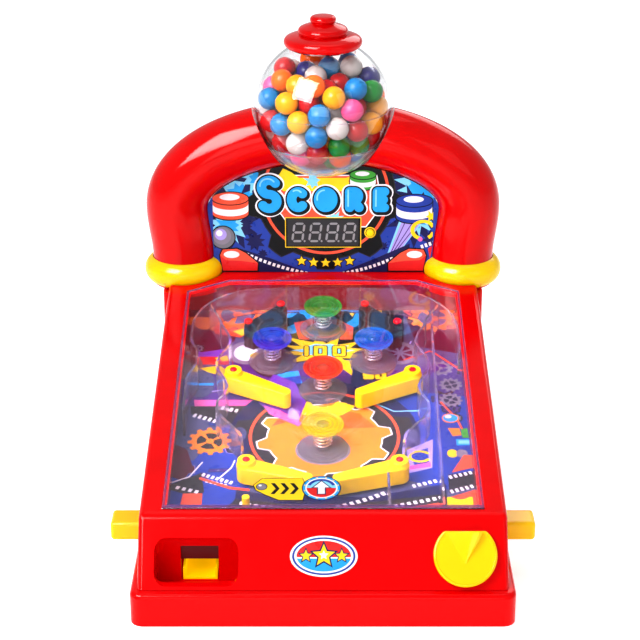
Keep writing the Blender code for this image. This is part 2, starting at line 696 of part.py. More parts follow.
def arch_frames(side, end, count):
    frames = []
    for k in range(count + 1):
        t = end * k / count
        x, z = arch_point(t)
        x1, z1 = arch_point(min(1.0, t + 0.004))
        x0, z0 = arch_point(max(0.0, t - 0.004))
        along = Vector((x1 - x0, 0, z1 - z0)).normalized()
        if k == 0:
            along = Vector((0, 0, 1))
        out = Vector((-along.z, 0, along.x))
        point = Vector((x, back(ARCH_Y), z))
        if side > 0:
            point.x = -point.x
            out.x = -out.x
        frames.append((point, out, Vector((0, 1, 0))))
    return frames


def arch_shell(side, face, name):
    """Half pipe of one arm: face -1 is the front half and +1 the rear half."""
    split = GAP / 2
    inner = ARCH_TUBE - ARCH_WALL

    def half(radius, flip):
        points = arc((0, 0), radius, 0, 180, 7)
        points[0] = (radius, split)
        points[-1] = (-radius, split)
        points = [(a, face * max(b, split)) for a, b in points]
        return points[::-1] if flip else points

    section = half(ARCH_TUBE, False) + half(inner, True)
    shell = finish(name, sweep(arch_frames(side, 0.93, 14), section), red())
    boolean(shell, globe_clearance(SADDLE_CLEARANCE))
    return shell


def collar(side, name):
    bore = ARCH_TUBE + 0.0004
    cut = math.degrees(math.acos((bore - COLLAR_RING) / COLLAR_BEAD))
    profile = arc((COLLAR_RING, 0), COLLAR_BEAD, -cut, cut, 9)
    ring = turned(profile, 30)
    return finish(name, ring, yellow(), None, (side * ARCH_FOOT_X, back(ARCH_Y), COLLAR_Z), 60)


def backglass_outline(offset):
    """Arch opening in x and z, the given distance inside the arch's centre line."""
    frames = arch_frames(-1, 1.0, 26)
    points = []
    for point, out, _ in frames:
        inside = point - out * offset
        points.append((inside.x, inside.z))
    floor = PAD_HEIGHT + GAP
    points = [p for p in points if p[1] > COLLAR_Z + COLLAR_BEAD + 0.001 and p[0] < -0.002]
    edge = -(ARCH_FOOT_X - COLLAR_RING - COLLAR_BEAD) + 0.0012
    lower = [(edge, floor), (edge, COLLAR_Z + 0.0040), (points[0][0] + 0.0006, COLLAR_Z + COLLAR_BEAD)]
    left = lower + points
    right = [(-x, z) for x, z in reversed(left)]
    return left + right


def globe_clearance(radius):
    return turned([(0, -radius)] + sphere_between(radius, -80, 80, 14) + [(0, radius)], 32,
                  Matrix.Translation((0, back(ARCH_Y), GLOBE_Z)))


def backglass_panel():
    bm = prism(backglass_outline(ARCH_TUBE), back(BACKGLASS_Y), back(BACKGLASS_Y + BACKGLASS_THICK), "XZ")
    panel = finish("backglass_panel", bm, material("printed_card", (0.05, 0.15, 0.6), 0.3))
    boolean(panel, globe_clearance(SADDLE_CLEARANCE))
    boolean(panel, box((-0.0275, back(0.31), 0.1340), (0.0275, back(0.35), 0.1560)))
    boolean(panel, rod(0.0035, -0.01, 0.02, 16, Matrix.Translation((0.0358, back(BACKGLASS_Y), 0.1450))
                       @ Matrix.Rotation(-math.pi / 2, 4, "X")))
    return panel


def score_display():
    bm = box((-0.0270, back(BACKGLASS_Y - 0.0006), 0.1345), (0.0270, back(BACKGLASS_Y + 0.0075), 0.1555))
    return finish("score_display", bm, black())


def reset_button():
    matrix = Matrix.Rotation(-math.pi / 2, 4, "X")
    bm = rod(0.0030, -0.0022, 0.0060, 16, matrix)
    return finish("reset_button", bm, yellow(), None, (0.0358, back(BACKGLASS_Y), 0.1450))


def circuit_board():
    bm = box((-0.050, back(0.3375), 0.1250), (0.050, back(0.3391), 0.1600))
    return finish("circuit_board", bm, material("board_green", (0.02, 0.22, 0.08), 0.4))


def speaker():
    bm = turned([(0, 0), (0.0090, 0), (0.0140, 0.0050), (0.0140, 0.0065), (0.0105, 0.0060), (0, 0.0045)], 24,
                Matrix.Rotation(-math.pi / 2, 4, "X"))
    return finish("speaker", bm, black(), None, (0.0, back(0.3420), 0.1680))


def head_rear_cover():
    """Shell behind the backglass that closes the electronics in."""
    outline = backglass_outline(ARCH_TUBE + 0.0006)
    front = back(BACKGLASS_Y + BACKGLASS_THICK + GAP)
    cover = finish("head_rear_cover", prism(outline, front, back(0.3530), "XZ"), red())
    inner = []
    for x, z in outline:
        inner.append((x * 0.965, 0.1150 + (z - 0.1123) * 0.93))
    boolean(cover, prism(inner, back(0.32), back(0.3510), "XZ"))
    boolean(cover, globe_clearance(SADDLE_CLEARANCE))
    return cover


def globe():
    """Clear bowl with a filling mouth on top and an outlet towards the left arm."""
    inner = GLOBE_RADIUS - GLOBE_WALL
    high = math.degrees(math.acos(GLOBE_MOUTH / GLOBE_RADIUS))
    high_in = math.degrees(math.acos(GLOBE_MOUTH / inner))
    profile = [(0, -GLOBE_RADIUS)] + sphere_between(GLOBE_RADIUS, -80, high, 12)
    profile += sphere_between(inner, high_in, -80, 12) + [(0, -inner)]
    ball = finish("globe", turned(profile, 28), clear(), None, (0, back(ARCH_Y), GLOBE_Z), 60)
    aim = Vector((-0.892, 0, -0.451)).to_track_quat("Z", "Y").to_matrix().to_4x4()
    boolean(ball, rod(OUTLET_RADIUS, 0.030, 0.07, 20, aim))
    return ball


def globe_saddle():
    inner = GLOBE_RADIUS + SADDLE_GAP
    outer = inner + SADDLE_WALL
    profile = [(0, -outer)] + sphere_between(outer, -80, -30, 6)
    profile += sphere_between(inner, -30, -80, 6) + [(0, -inner)]
    cup = finish("globe_saddle", turned(profile, 28), clear(), None, (0, back(ARCH_Y), GLOBE_Z), 60)
    aim = Vector((-0.892, 0, -0.451)).to_track_quat("Z", "Y").to_matrix().to_4x4()
    boolean(cup, rod(OUTLET_RADIUS + 0.0010, 0.030, 0.07, 20, aim))
    return cup


def gumballs():
    """The load of gumballs as one plain solid."""
    radius = GLOBE_RADIUS - GLOBE_WALL - 0.0013
    crown = radius * math.sin(math.radians(38)) + 0.001
    profile = [(0, -radius)] + sphere_between(radius, -75, 38, 8) + [(0, crown)]
    return finish("gumballs", turned(profile, 18), material("gumballs", (0.9, 0.4, 0.2), 0.3), None,
                  (0, back(ARCH_Y), GLOBE_Z), 60)


def globe_cap():
    """Stepped lid of three rounded tiers; its skirt sits on the bowl around the mouth."""
    levels = [z - GLOBE_Z for z in CAP_LEVELS]
    rim = CAP_RADII[0]
    bulge = 0.0045
    profile = [(0, levels[1] - 0.006), (0.0200, levels[1] - 0.006), (0.0205, 0.0465)]
    profile += [(rim - 0.0035, levels[0] + 0.0004), (rim - 0.0008, levels[0] + 0.0002)]
    profile += arc((rim - bulge, levels[0] + 0.0062), bulge, -30, 80, 5)
    profile += [(CAP_RADII[1] + 0.0015, levels[1]), (CAP_RADII[1] - 0.0003, levels[1] + 0.0006)]
    profile += arc((CAP_RADII[1] - 0.0032, levels[2] - 0.0040), 0.0032, 0, 85, 4)
    profile += [(CAP_RADII[2] + 0.0012, levels[2]), (CAP_RADII[2] - 0.0002, levels[2] + 0.0006)]
    profile += arc((CAP_RADII[2] - 0.0024, levels[3] - 0.0026), 0.0024, 0, 85, 4) + [(0, levels[3])]
    return finish("globe_cap", turned(profile, 28), red(), None, (0, back(ARCH_Y), GLOBE_Z), 60)


# ---------------------------------------------------------------- dispenser
def turn_point(degrees, along, across):
    """Point at a distance along a direction in the plan, and to its left."""
    angle = math.radians(degrees)
    return (along * math.cos(angle) - across * math.sin(angle),
            along * math.sin(angle) + across * math.cos(angle))


def dispenser_wheel():
    """Four-pocket wheel that passes one gumball at a time from the left leg to the chute."""
    outline = []
    for k in range(4):
        outline += arc((0, 0), WHEEL_RADIUS, 90 * k + 26, 90 * k + 64, 4)
        outline += [turn_point(90 * (k + 1), 0.0150, -0.0088), turn_point(90 * (k + 1), 0.0115, 0.0),
                    turn_point(90 * (k + 1), 0.0150, 0.0088)]
    wheel = finish("dispenser_wheel", prism(outline, 0.0, WHEEL_HEIGHT), yellow(), None,
                   (WHEEL_X, back(ARCH_Y), WHEEL_Z))
    boolean(wheel, rod(0.0030, -0.0040, WHEEL_HEIGHT + 0.0040, 16), "UNION")
    return wheel


def gumball_chute():
    """Open channel from below the wheel down to the pocket in the front panel."""
    inner = 0.0095
    wall = 0.0014
    lip = 0.0085
    section = [(-inner - wall, 0), (inner + wall, 0), (inner + wall, lip), (inner, lip),
               (inner, wall), (-inner, wall), (-inner, lip), (-inner - wall, lip)]
    path = []
    for distance, height in ((CHUTE_FRONT, CHUTE_LOW), (0.0850, CHUTE_LOW + 0.0030), (0.3240, CHUTE_HIGH)):
        path.append((Vector((CHUTE_X, back(distance), height)), Vector((1, 0, 0)), Vector((0, 0, 1))))
    chute = finish("gumball_chute", sweep(path, section), yellow())
    floor = WHEEL_Z - 0.0018
    hub = Matrix.Translation((WHEEL_X, back(ARCH_Y), 0))
    boolean(chute, rod(WHEEL_RADIUS, floor, floor + 0.0014, 28, hub),
            "UNION")
    for side in (-1, 1):
        xs = sorted((CHUTE_X + side * inner, CHUTE_X + side * (inner + wall)))
        boolean(chute, box((xs[0], back(0.3200), CHUTE_HIGH), (xs[1], back(0.3240), floor + 0.0007)), "UNION")
    drop = turn_point(-79, 0.0235, 0)
    boolean(chute, rod(0.0092, floor - 0.01, floor + 0.01, 20,
                       Matrix.Translation((WHEEL_X + drop[0], back(ARCH_Y) + drop[1], 0))))
    boolean(chute, rod(0.0034, floor - 0.003, floor + 0.01, 16, hub))
    return chute


def front_badge():
    """Plain oval plate on the front panel."""
    tilt = math.atan2(PANEL_TOP[1] - BASE_HEIGHT, PANEL_TOP[0] - HOUSING_FRONT)
    turns = [math.radians(a) for a in range(0, 360, 12)]
    outline = [(0.0213 * math.cos(a), 0.0130 * math.sin(a)) for a in turns]
    bm = prism(outline, GAP, 0.0012)
    along = 0.0262
    centre = Vector((0.0005, back(PANEL_TOP[0] - along * math.cos(tilt)),
                     PANEL_TOP[1] - along * math.sin(tilt)))
    bmesh.ops.transform(bm, matrix=Matrix.Translation(centre) @ Matrix.Rotation(tilt, 4, "X"), verts=bm.verts)
    return finish("front_badge", bm, material("badge_white", (0.9, 0.9, 0.9), 0.3))


# ---------------------------------------------------------------- assembly
def build():
    clear_scene()
    base_plinth()
    upper_housing()
    battery_door()
    battery_pack()
    power_switch()
    frame = play_frame()
    bpy.context.view_layer.update()
    playfield_tray(frame)
    clear_cover(frame)
    for side, hand in ((-1, "left"), (1, "right")):
        ball_rail(side, "ball_rail_" + hand, frame)
        target_block(side, "target_block_" + hand, frame)
        flipper_button(side, "flipper_button_" + hand, frame)
        for row, x, s, angle in FLIPPERS:
            flipper(side, row, x, s, angle, frame)
        arch_shell(side, -1, "arch_front_" + hand)
        arch_shell(side, 1, "arch_rear_" + hand)
        collar(side, "collar_" + hand)
    lane_divider(frame)
    for name, x, s in BUMPERS:
        bumper(name, x, s, frame)
    launcher(frame)
    launch_spring(frame)
    steel_ball(frame)
    backglass_panel()
    score_display()
    reset_button()
    circuit_board()
    speaker()
    head_rear_cover()
    globe()
    globe_saddle()
    gumballs()
    globe_cap()
    dispenser_wheel()
    gumball_chute()
    front_badge()


build()
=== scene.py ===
"""Looks of the tabletop pinball toy: fine meshes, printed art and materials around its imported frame.

Metres, in the row frame: +Z up, the player at -Y. Places on the playfield and on the score panel are
given in millimetres in their own planes: (x, s) up the slope, and (x, z) on the upright panel.
"""

import json
import math
import random

import bmesh
import bpy
import numpy as np
from mathutils import Matrix, Vector
from mathutils.geometry import delaunay_2d_cdt


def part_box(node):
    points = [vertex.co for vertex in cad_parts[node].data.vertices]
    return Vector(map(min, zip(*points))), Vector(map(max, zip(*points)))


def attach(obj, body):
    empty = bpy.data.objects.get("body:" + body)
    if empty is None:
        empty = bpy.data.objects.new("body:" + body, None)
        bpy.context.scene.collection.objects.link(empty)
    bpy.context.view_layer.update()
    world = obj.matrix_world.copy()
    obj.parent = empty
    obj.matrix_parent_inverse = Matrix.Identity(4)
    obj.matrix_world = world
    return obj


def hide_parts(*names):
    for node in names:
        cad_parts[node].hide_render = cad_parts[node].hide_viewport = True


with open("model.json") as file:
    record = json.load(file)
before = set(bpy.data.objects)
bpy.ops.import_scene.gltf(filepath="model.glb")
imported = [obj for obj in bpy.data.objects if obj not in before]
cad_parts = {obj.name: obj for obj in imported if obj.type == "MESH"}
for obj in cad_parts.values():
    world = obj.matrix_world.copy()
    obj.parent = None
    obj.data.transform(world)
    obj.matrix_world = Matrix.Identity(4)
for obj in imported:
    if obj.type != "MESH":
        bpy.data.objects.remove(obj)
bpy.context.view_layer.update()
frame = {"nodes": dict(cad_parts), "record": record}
RECORD = frame["record"]
BODY = {node: body for body, nodes in RECORD["behaviour"]["bodies"].items() for node in nodes}
MM = 0.001

TILT = math.radians(10.45)
PLAY = Matrix.Translation((0, -0.146231, 0.033373)) @ Matrix.Rotation(TILT, 4, "X")
PLAY_HALF, PLAY_FRONT, PLAY_END = 101.4, 8.1, 281.9
COVER_TOP = 0.0292
GLASS_Y = 0.1415
ARCH_Y = 0.148
ARCH_TUBE, ARCH_WALL = 0.0235, 0.0025
ARCH_FOOT = (0.1066, 0.1045)
ARCH_STRAIGHT, ARCH_HALF, ARCH_RISE, ARCH_SPRING = 0.0220, 0.1105, 0.0584, 0.1650
ARCH_REACH, ARCH_STEPS, PLUG_START = 0.93, 84, 66
GLOBE_Z, GLOBE_R, GLOBE_WALL, GLOBE_MOUTH = 0.2424, 0.0507, 0.0016, 0.0235
CUP_ROOM = 0.0532
COLLAR_Z, COLLAR_RING, COLLAR_BEAD = 0.1153, 0.0192, 0.0108
BUMPERS = {"green": (0.0, 0.2550), "blue": (-0.0370, 0.2115), "cyan": (0.0370, 0.2115),
           "orange": (0.0, 0.1745), "yellow": (0.0, 0.1060)}
SIDES = ((-1, "left"), (1, "right"))
FLIPPERS = {"lower": (0.0510, 0.0690, -19.0), "upper": (0.0638, 0.1744, -30.0)}
BALL_SHARE = 0.485
FILM_FOOT, LAYER = 0.000005, 0.02


# ---------------------------------------------------------------- materials
def linear(r, g, b):
    """Screen colour, 0 to 255, as the linear colour a shader wants."""
    return tuple(((c / 255 + 0.055) / 1.055) ** 2.4 if c > 10 else c / 255 / 12.92 for c in (r, g, b))


def new_material(name):
    mat = bpy.data.materials.new(name)
    mat.use_nodes = True
    tree = mat.node_tree
    return mat, tree, tree.nodes["Principled BSDF"]


def set_inputs(node, values):
    for name, value in values.items():
        node.inputs[name].default_value = value


def noise(tree, scale, detail=3.0, stretch=(1, 1, 1)):
    coords = tree.nodes.new("ShaderNodeTexCoord")
    mapping = tree.nodes.new("ShaderNodeMapping")
    set_inputs(mapping, {"Scale": stretch})
    texture = tree.nodes.new("ShaderNodeTexNoise")
    set_inputs(texture, {"Scale": scale, "Detail": detail})
    tree.links.new(coords.outputs["Object"], mapping.inputs["Vector"])
    tree.links.new(mapping.outputs["Vector"], texture.inputs["Vector"])
    return texture.outputs["Fac"]


def ranged(tree, value, low, high):
    """Stretch a noise's usual span, 0.3 to 0.7, over a range."""
    node = tree.nodes.new("ShaderNodeMapRange")
    set_inputs(node, {"From Min": 0.3, "From Max": 0.7, "To Min": low, "To Max": high})
    tree.links.new(value, node.inputs["Value"])
    return node.outputs["Result"]


def blended(tree, factor, first, second):
    node = tree.nodes.new("ShaderNodeMix")
    node.data_type = "RGBA"
    set_inputs(node, {"A": (*first, 1), "B": (*second, 1)})
    tree.links.new(factor, node.inputs["Factor"])
    return node.outputs["Result"]


def bumped(tree, shader, height, strength, distance):
    node = tree.nodes.new("ShaderNodeBump")
    set_inputs(node, {"Strength": strength, "Distance": distance})
    tree.links.new(height, node.inputs["Height"])
    tree.links.new(node.outputs["Normal"], shader.inputs["Normal"])


def plastic(name, colour, rough=0.14, spread=0.05, shade=0.93, grain=0.10, glow=0.0, gloss=0.5,
            sheen=(1, 1, 1)):
    """Moulded plastic: faint flow variation in colour and gloss, and fine moulding texture."""
    mat, tree, shader = new_material(name)
    broad = noise(tree, 22, 4, (1, 1.8, 0.8))
    dark = tuple(c * shade for c in colour)
    tree.links.new(blended(tree, ranged(tree, broad, 0, 1), dark, colour), shader.inputs["Base Color"])
    tree.links.new(ranged(tree, noise(tree, 70, 5), rough, rough + spread), shader.inputs["Roughness"])
    bumped(tree, shader, noise(tree, 900, 2), grain, 0.00006)
    set_inputs(shader, {"IOR": 1.5, "Specular IOR Level": gloss, "Specular Tint": (*sheen, 1)})
    if glow:
        set_inputs(shader, {"Subsurface Weight": glow, "Subsurface Radius": (0.006, 0.002, 0.002),
                            "Subsurface Scale": 0.5})
    return mat


def painted_glow(mat, colour, strength):
    """Painted light: emission that keeps a piece deep inside the housing bright where the lamps hardly reach;
    the real piece gives no light.
    """
    set_inputs(mat.node_tree.nodes["Principled BSDF"],
               {"Emission Color": (*colour, 1), "Emission Strength": strength})


def see_through(name, tint, rough=0.02, ior=1.46, clarity=1.0, grain=0.04):
    """Clear or tinted moulded plastic that lets lamps light what is behind it."""
    mat, tree, shader = new_material(name)
    faint = tuple(c * 0.97 for c in tint)
    tree.links.new(blended(tree, noise(tree, 30, 3), tint, faint), shader.inputs["Base Color"])
    tree.links.new(ranged(tree, noise(tree, 60, 4), rough, rough + 0.03), shader.inputs["Roughness"])
    bumped(tree, shader, noise(tree, 160, 2), grain, 0.0001)
    set_inputs(shader, {"Transmission Weight": clarity, "IOR": ior})
    path = tree.nodes.new("ShaderNodeLightPath")
    through = tree.nodes.new("ShaderNodeBsdfTransparent")
    set_inputs(through, {"Color": (*tint, 1)})
    mix = tree.nodes.new("ShaderNodeMixShader")
    tree.links.new(path.outputs["Is Shadow Ray"], mix.inputs["Fac"])
    tree.links.new(shader.outputs["BSDF"], mix.inputs[1])
    tree.links.new(through.outputs["BSDF"], mix.inputs[2])
    tree.links.new(mix.outputs["Shader"], tree.nodes["Material Output"].inputs["Surface"])
    return mat


def metal(name, colour, rough):
    mat, tree, shader = new_material(name)
    dark = tuple(c * 0.85 for c in colour)
    tree.links.new(blended(tree, noise(tree, 120, 4), colour, dark), shader.inputs["Base Color"])
    tree.links.new(ranged(tree, noise(tree, 300, 5), rough, rough + 0.10), shader.inputs["Roughness"])
    bumped(tree, shader, noise(tree, 700, 3), 0.08, 0.00004)
    set_inputs(shader, {"Metallic": 1.0})
    return mat


def ink(name, colour):
    """Print on a coated sheet: a faint mottle in the ink under an even gloss."""
    mat, tree, shader = new_material("ink_" + name)
    dark = tuple(c * 0.86 for c in colour)
    mottle = ranged(tree, noise(tree, 45, 6), 0, 1)
    tree.links.new(blended(tree, mottle, dark, colour), shader.inputs["Base Color"])
    tree.links.new(ranged(tree, noise(tree, 200, 3), 0.26, 0.38), shader.inputs["Roughness"])
    set_inputs(shader, {"Specular IOR Level": 0.25})
    return mat


WARM = (1.0, 0.42, 0.42)
RED = plastic("red_gloss", linear(232, 0, 5), 0.12, 0.06, 0.90, gloss=0.24, sheen=WARM)
ARCH_RED = plastic("red_arch", linear(220, 0, 4), 0.07, 0.05, 0.84, gloss=0.42, sheen=WARM)
RED_TRIM = plastic("red_trim", linear(226, 6, 14), 0.20, 0.08, gloss=0.3)
WALL_RED = plastic("red_inner", linear(150, 8, 30), 0.12, 0.06)
YELLOW = plastic("yellow_gloss", linear(255, 214, 0), 0.12, 0.06, 0.93, glow=0.05, gloss=0.28)
YELLOW_CHUTE_PAINTED_GLOW = plastic("yellow_chute_painted_glow", linear(255, 214, 0), 0.2, 0.06, 0.93, gloss=0.28)
# painted light: the chute's orange emission stands in for lamp light that does not reach it inside the pocket
painted_glow(YELLOW_CHUTE_PAINTED_GLOW, (1, 0.62, 0), 0.5)
# painted shade: dark maroon for the plate behind the pocket's opening, darker than the red housing, standing
# for the shade in the opening's upper part
SHADE_MAROON = plastic("flap_painted_shade", linear(104, 0, 10), 0.4, 0.1)
BLACK = plastic("black_satin", (0.012, 0.012, 0.016), 0.28, 0.12)
GREEN_BOARD = plastic("board_laminate", (0.01, 0.12, 0.04), 0.35, 0.1)
WRAP = plastic("battery_sleeve", (0.03, 0.03, 0.05), 0.35, 0.1)
CLEAR = see_through("clear_sheet", (0.93, 0.88, 0.95), 0.02, 1.46, 0.992)
CLEAR_RAIL = see_through("clear_rail", (0.88, 0.82, 0.93), 0.05, 1.22, 0.95)
CLEAR_EDGE = see_through("cover_edge", (0.44, 0.32, 0.58), 0.06, 1.30, 0.86)
CLEAR_CUP = see_through("clear_cup", (0.99, 0.97, 0.98), 0.01, 1.12, 0.94, grain=0.02)
CLEAR_DISC = see_through("clear_disc", (0.60, 0.56, 0.60), 0.10, 1.30, 0.88)
JEWEL = see_through("cap_centre", (0.80, 0.80, 0.82), 0.03, 1.5)
CLEAR_BOWL = see_through("clear_bowl", (0.98, 0.98, 0.99), 0.0, 1.42, grain=0.0)
WHITE_GLOSS = plastic("badge_gloss", linear(246, 246, 248), 0.12, 0.05)
GREY_RUBBER = plastic("target_pad", linear(92, 90, 100), 0.4, 0.1)
CHROME = metal("chrome", (0.86, 0.86, 0.88), 0.08)
WIRE = metal("spring_wire", (0.95, 0.92, 0.90), 0.22)
CAPS = {name: see_through("cap_" + name, linear(*rgb), 0.05, 1.45, clarity) for name, rgb, clarity in (
    ("green", (96, 214, 60), 0.80), ("blue", (60, 84, 245), 0.80), ("cyan", (20, 160, 250), 0.78),
    ("orange", (255, 100, 36), 0.74), ("yellow", (248, 240, 50), 0.78))}
# painted shade: darker opaque rings that sit in the caps' grooves between the raised rings
GROOVE_SHADE = {name: plastic("cap_groove_shade_" + name, linear(*rgb), 0.15, 0.06) for name, rgb in {
    "green": (18, 112, 22), "blue": (14, 18, 130), "cyan": (0, 66, 150), "orange": (176, 24, 4),
    "yellow": (172, 164, 6)}.items()}
GUM = {name: plastic("gum_" + name, linear(*rgb), 0.18, 0.12, 0.84, 0.2, 0.0, 0.24) for name, rgb in {
    "yellow": (212, 140, 0), "blue": (0, 106, 160), "green": (4, 116, 34), "red": (164, 4, 12),
    "orange": (224, 92, 2), "white": (182, 172, 168), "pink": (212, 76, 128), "navy": (36, 26, 104)}.items()}
INKS = {name: ink(name, linear(*rgb)) for name, rgb in {
    "blue": (36, 66, 164), "navy": (24, 25, 86), "deep": (26, 12, 66), "black": (5, 5, 7),
    "char": (44, 42, 50),
    "orange": (255, 146, 40), "amber": (250, 112, 30), "coral": (246, 92, 60), "red": (226, 34, 34),
    "cyan": (32, 168, 240), "sky": (140, 214, 246), "yellow": (255, 216, 24), "purple": (120, 62, 178),
    "violet": (82, 48, 132), "pink": (232, 100, 176), "maroon": (92, 10, 50), "white": (244, 242, 246),
    "grey": (138, 132, 146), "slate": (84, 88, 128), "green": (70, 170, 60), "lilac": (176, 160, 226),
    "brown": (150, 110, 110), "segment": (150, 148, 150), "steel": (120, 122, 130)}.items()}


# ---------------------------------------------------------------- building pieces
def add(name, mesh_or_bm, mats, body, replaces=(), smooth=35, bevel=0.0, segments=2):
    """Turn a bmesh into a piece that rides on a CAD body."""
    if isinstance(mesh_or_bm, bmesh.types.BMesh):
        bmesh.ops.recalc_face_normals(mesh_or_bm, faces=mesh_or_bm.faces[:])
        mesh = bpy.data.meshes.new(name)
        mesh_or_bm.to_mesh(mesh)
        mesh_or_bm.free()
    else:
        mesh = mesh_or_bm
    for mat in mats if isinstance(mats, (list, tuple)) else [mats]:
        mesh.materials.append(mat)
    mesh.shade_smooth()
    mesh.set_sharp_from_angle(angle=math.radians(smooth))
    obj = bpy.data.objects.new(name, mesh)
    bpy.context.scene.collection.objects.link(obj)
    if bevel:
        mod = obj.modifiers.new("edges", "BEVEL")
        mod.width = bevel
        mod.segments = segments
        mod.limit_method = "ANGLE"
        mod.angle_limit = math.radians(32)
        mod = obj.modifiers.new("normals", "WEIGHTED_NORMAL")
        mod.keep_sharp = True
    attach(obj, body)
    if replaces:
        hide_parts(*replaces)
    return obj


def refined(node, mat, bevel=0.0004, segments=2, smooth=35):
    """A finer copy of a CAD node, with merged faces and small rounded edges, that stands for it."""
    bm = bmesh.new()
    bm.from_mesh(frame["nodes"][node].data)
    bmesh.ops.remove_doubles(bm, verts=bm.verts, dist=2e-6)
    bmesh.ops.dissolve_limit(bm, angle_limit=math.radians(0.6), verts=bm.verts, edges=bm.edges)
    for face in bm.faces:
        face.material_index = 0
    return add(node + "_skin", bm, mat, BODY[node], (node,), smooth, bevel, segments)


def cut(obj, tool_bm):
    """Cut a piece with a temporary tool given in the row frame."""
    bmesh.ops.recalc_face_normals(tool_bm, faces=tool_bm.faces[:])
    mesh = bpy.data.meshes.new("tool")
    tool_bm.to_mesh(mesh)
    tool_bm.free()
    tool = bpy.data.objects.new("tool", mesh)
    bpy.context.scene.collection.objects.link(tool)
    step = obj.modifiers.new("step", "BOOLEAN")
    step.operation = "DIFFERENCE"
    step.object = tool
    bpy.context.view_layer.update()
    result = bpy.data.meshes.new_from_object(obj.evaluated_get(bpy.context.evaluated_depsgraph_get()))
    obj.modifiers.remove(step)
    obj.data = result
    bpy.data.objects.remove(tool, do_unlink=True)
    return obj


def arc(cx, cy, radius, start, end, count, radius_y=None):
    radius_y = radius if radius_y is None else radius_y
    points = []
    for k in range(count + 1):
        angle = math.radians(start + (end - start) * k / count)
        points.append((cx + radius * math.cos(angle), cy + radius_y * math.sin(angle)))
    return points


def prism(outline, low, high, matrix=None, bm=None):
    bm = bm or bmesh.new()
    ends = [[bm.verts.new((a, b, level)) for a, b in outline] for level in (low, high)]
    bm.faces.new(ends[0])
    bm.faces.new(ends[1])
    for i in range(len(outline)):
        j = (i + 1) % len(outline)
        bm.faces.new((ends[0][i], ends[0][j], ends[1][j], ends[1][i]))
    if matrix:
        bmesh.ops.transform(bm, matrix=matrix, verts=ends[0] + ends[1])
    return bm


def turned(profile, steps=72, matrix=None, bm=None):
    """Turn a closed profile of (radius, height) about Z; radius 0 points sit on the axis."""
    bm = bm or bmesh.new()
    rings = []
    for radius, height in profile:
        count = 1 if radius < 1e-7 else steps
        ring = []
        for k in range(count):
            angle = 2 * math.pi * k / steps
            point = Vector((radius * math.cos(angle), radius * math.sin(angle), height))
            ring.append(bm.verts.new(matrix @ point if matrix else point))
        rings.append(ring)
    for first, second in zip(rings, rings[1:] + rings[:1]):
        if len(first) == 1 and len(second) == 1:
            continue
        for k in range(steps):
            m = (k + 1) % steps
            corners = [first[k % len(first)], first[m % len(first)],
                       second[m % len(second)], second[k % len(second)]]
            unique = []
            for corner in corners:
                if corner not in unique:
                    unique.append(corner)
            bm.faces.new(unique)
    return bm


def swept(path, section):
    """Sweep a closed section along (point, side, up) frames, with end caps."""
    bm = bmesh.new()
    rings = [[bm.verts.new(point + side * a + up * b) for a, b in section] for point, side, up in path]
    count = len(section)
    for first, second in zip(rings, rings[1:]):
        for k in range(count):
            m = (k + 1) % count
            bm.faces.new((first[k], first[m], second[m], second[k]))
    bm.faces.new(rings[0])
    bm.faces.new(rings[-1])
    return bm


def coil(radius, wire, turns, height, matrix, steps=26, sides=10):
    """Round-wire spring whose end turns close up flat."""
    bm = bmesh.new()
    rings = []
    total = int(turns * steps)
    for k in range(total + 1):
        angle = 2 * math.pi * k / steps
        share = min(1.0, max(0.0, (k / steps - 0.5) / (turns - 1)))
        out = Vector((math.cos(angle), math.sin(angle), 0))
        centre = out * radius + Vector((0, 0, wire + (height - 2 * wire) * share))
        ring = []
        for m in range(sides):
            turn = 2 * math.pi * m / sides
            ring.append(bm.verts.new(matrix @ (centre + out * wire * math.cos(turn)
                                               + Vector((0, 0, wire * math.sin(turn))))))
        rings.append(ring)
    for first, second in zip(rings, rings[1:]):
        for k in range(sides):
            m = (k + 1) % sides
            bm.faces.new((first[k], first[m], second[m], second[k]))
    bm.faces.new(rings[0])
    bm.faces.new(rings[-1])
    return bm


# ---------------------------------------------------------------- flat art
def clipped(points, outline):
    """Part of a polygon inside a convex outline that runs anticlockwise."""
    for (ax, ay), (bx, by) in zip(outline, outline[1:] + outline[:1]):
        kept = []
        for (px, py), (qx, qy) in zip(points, points[1:] + points[:1]):
            p_side = (bx - ax) * (py - ay) - (by - ay) * (px - ax)
            q_side = (bx - ax) * (qy - ay) - (by - ay) * (qx - ax)
            if p_side >= 0:
                kept.append((px, py))
            if (p_side > 0 > q_side) or (p_side < 0 < q_side):
                t = p_side / (p_side - q_side)
                kept.append((px + (qx - px) * t, py + (qy - py) * t))
        points = kept
        if len(points) < 3:
            return []
    return points


def outside_circle(points, cx, cy, radius):
    """Outline with the stretch that lies inside a circle moved out to its edge."""
    result = []
    for (ax, ay), (bx, by) in zip(points, points[1:] + points[:1]):
        count = max(1, int(math.dist((ax, ay), (bx, by)) / 1.5))
        for k in range(count):
            x, y = ax + (bx - ax) * k / count, ay + (by - ay) * k / count
            away = math.dist((x, y), (cx, cy))
            if away < radius:
                x, y = cx + (x - cx) * radius / away, cy + (y - cy) * radius / away
            result.append((x, y))
    return result


def tidy(points):
    """Drop repeated neighbours."""
    result = []
    for point in points:
        if not result or math.dist(point, result[-1]) > 0.01:
            result.append(point)
    while len(result) > 2 and math.dist(result[0], result[-1]) < 0.01:
        result.pop()
    return result


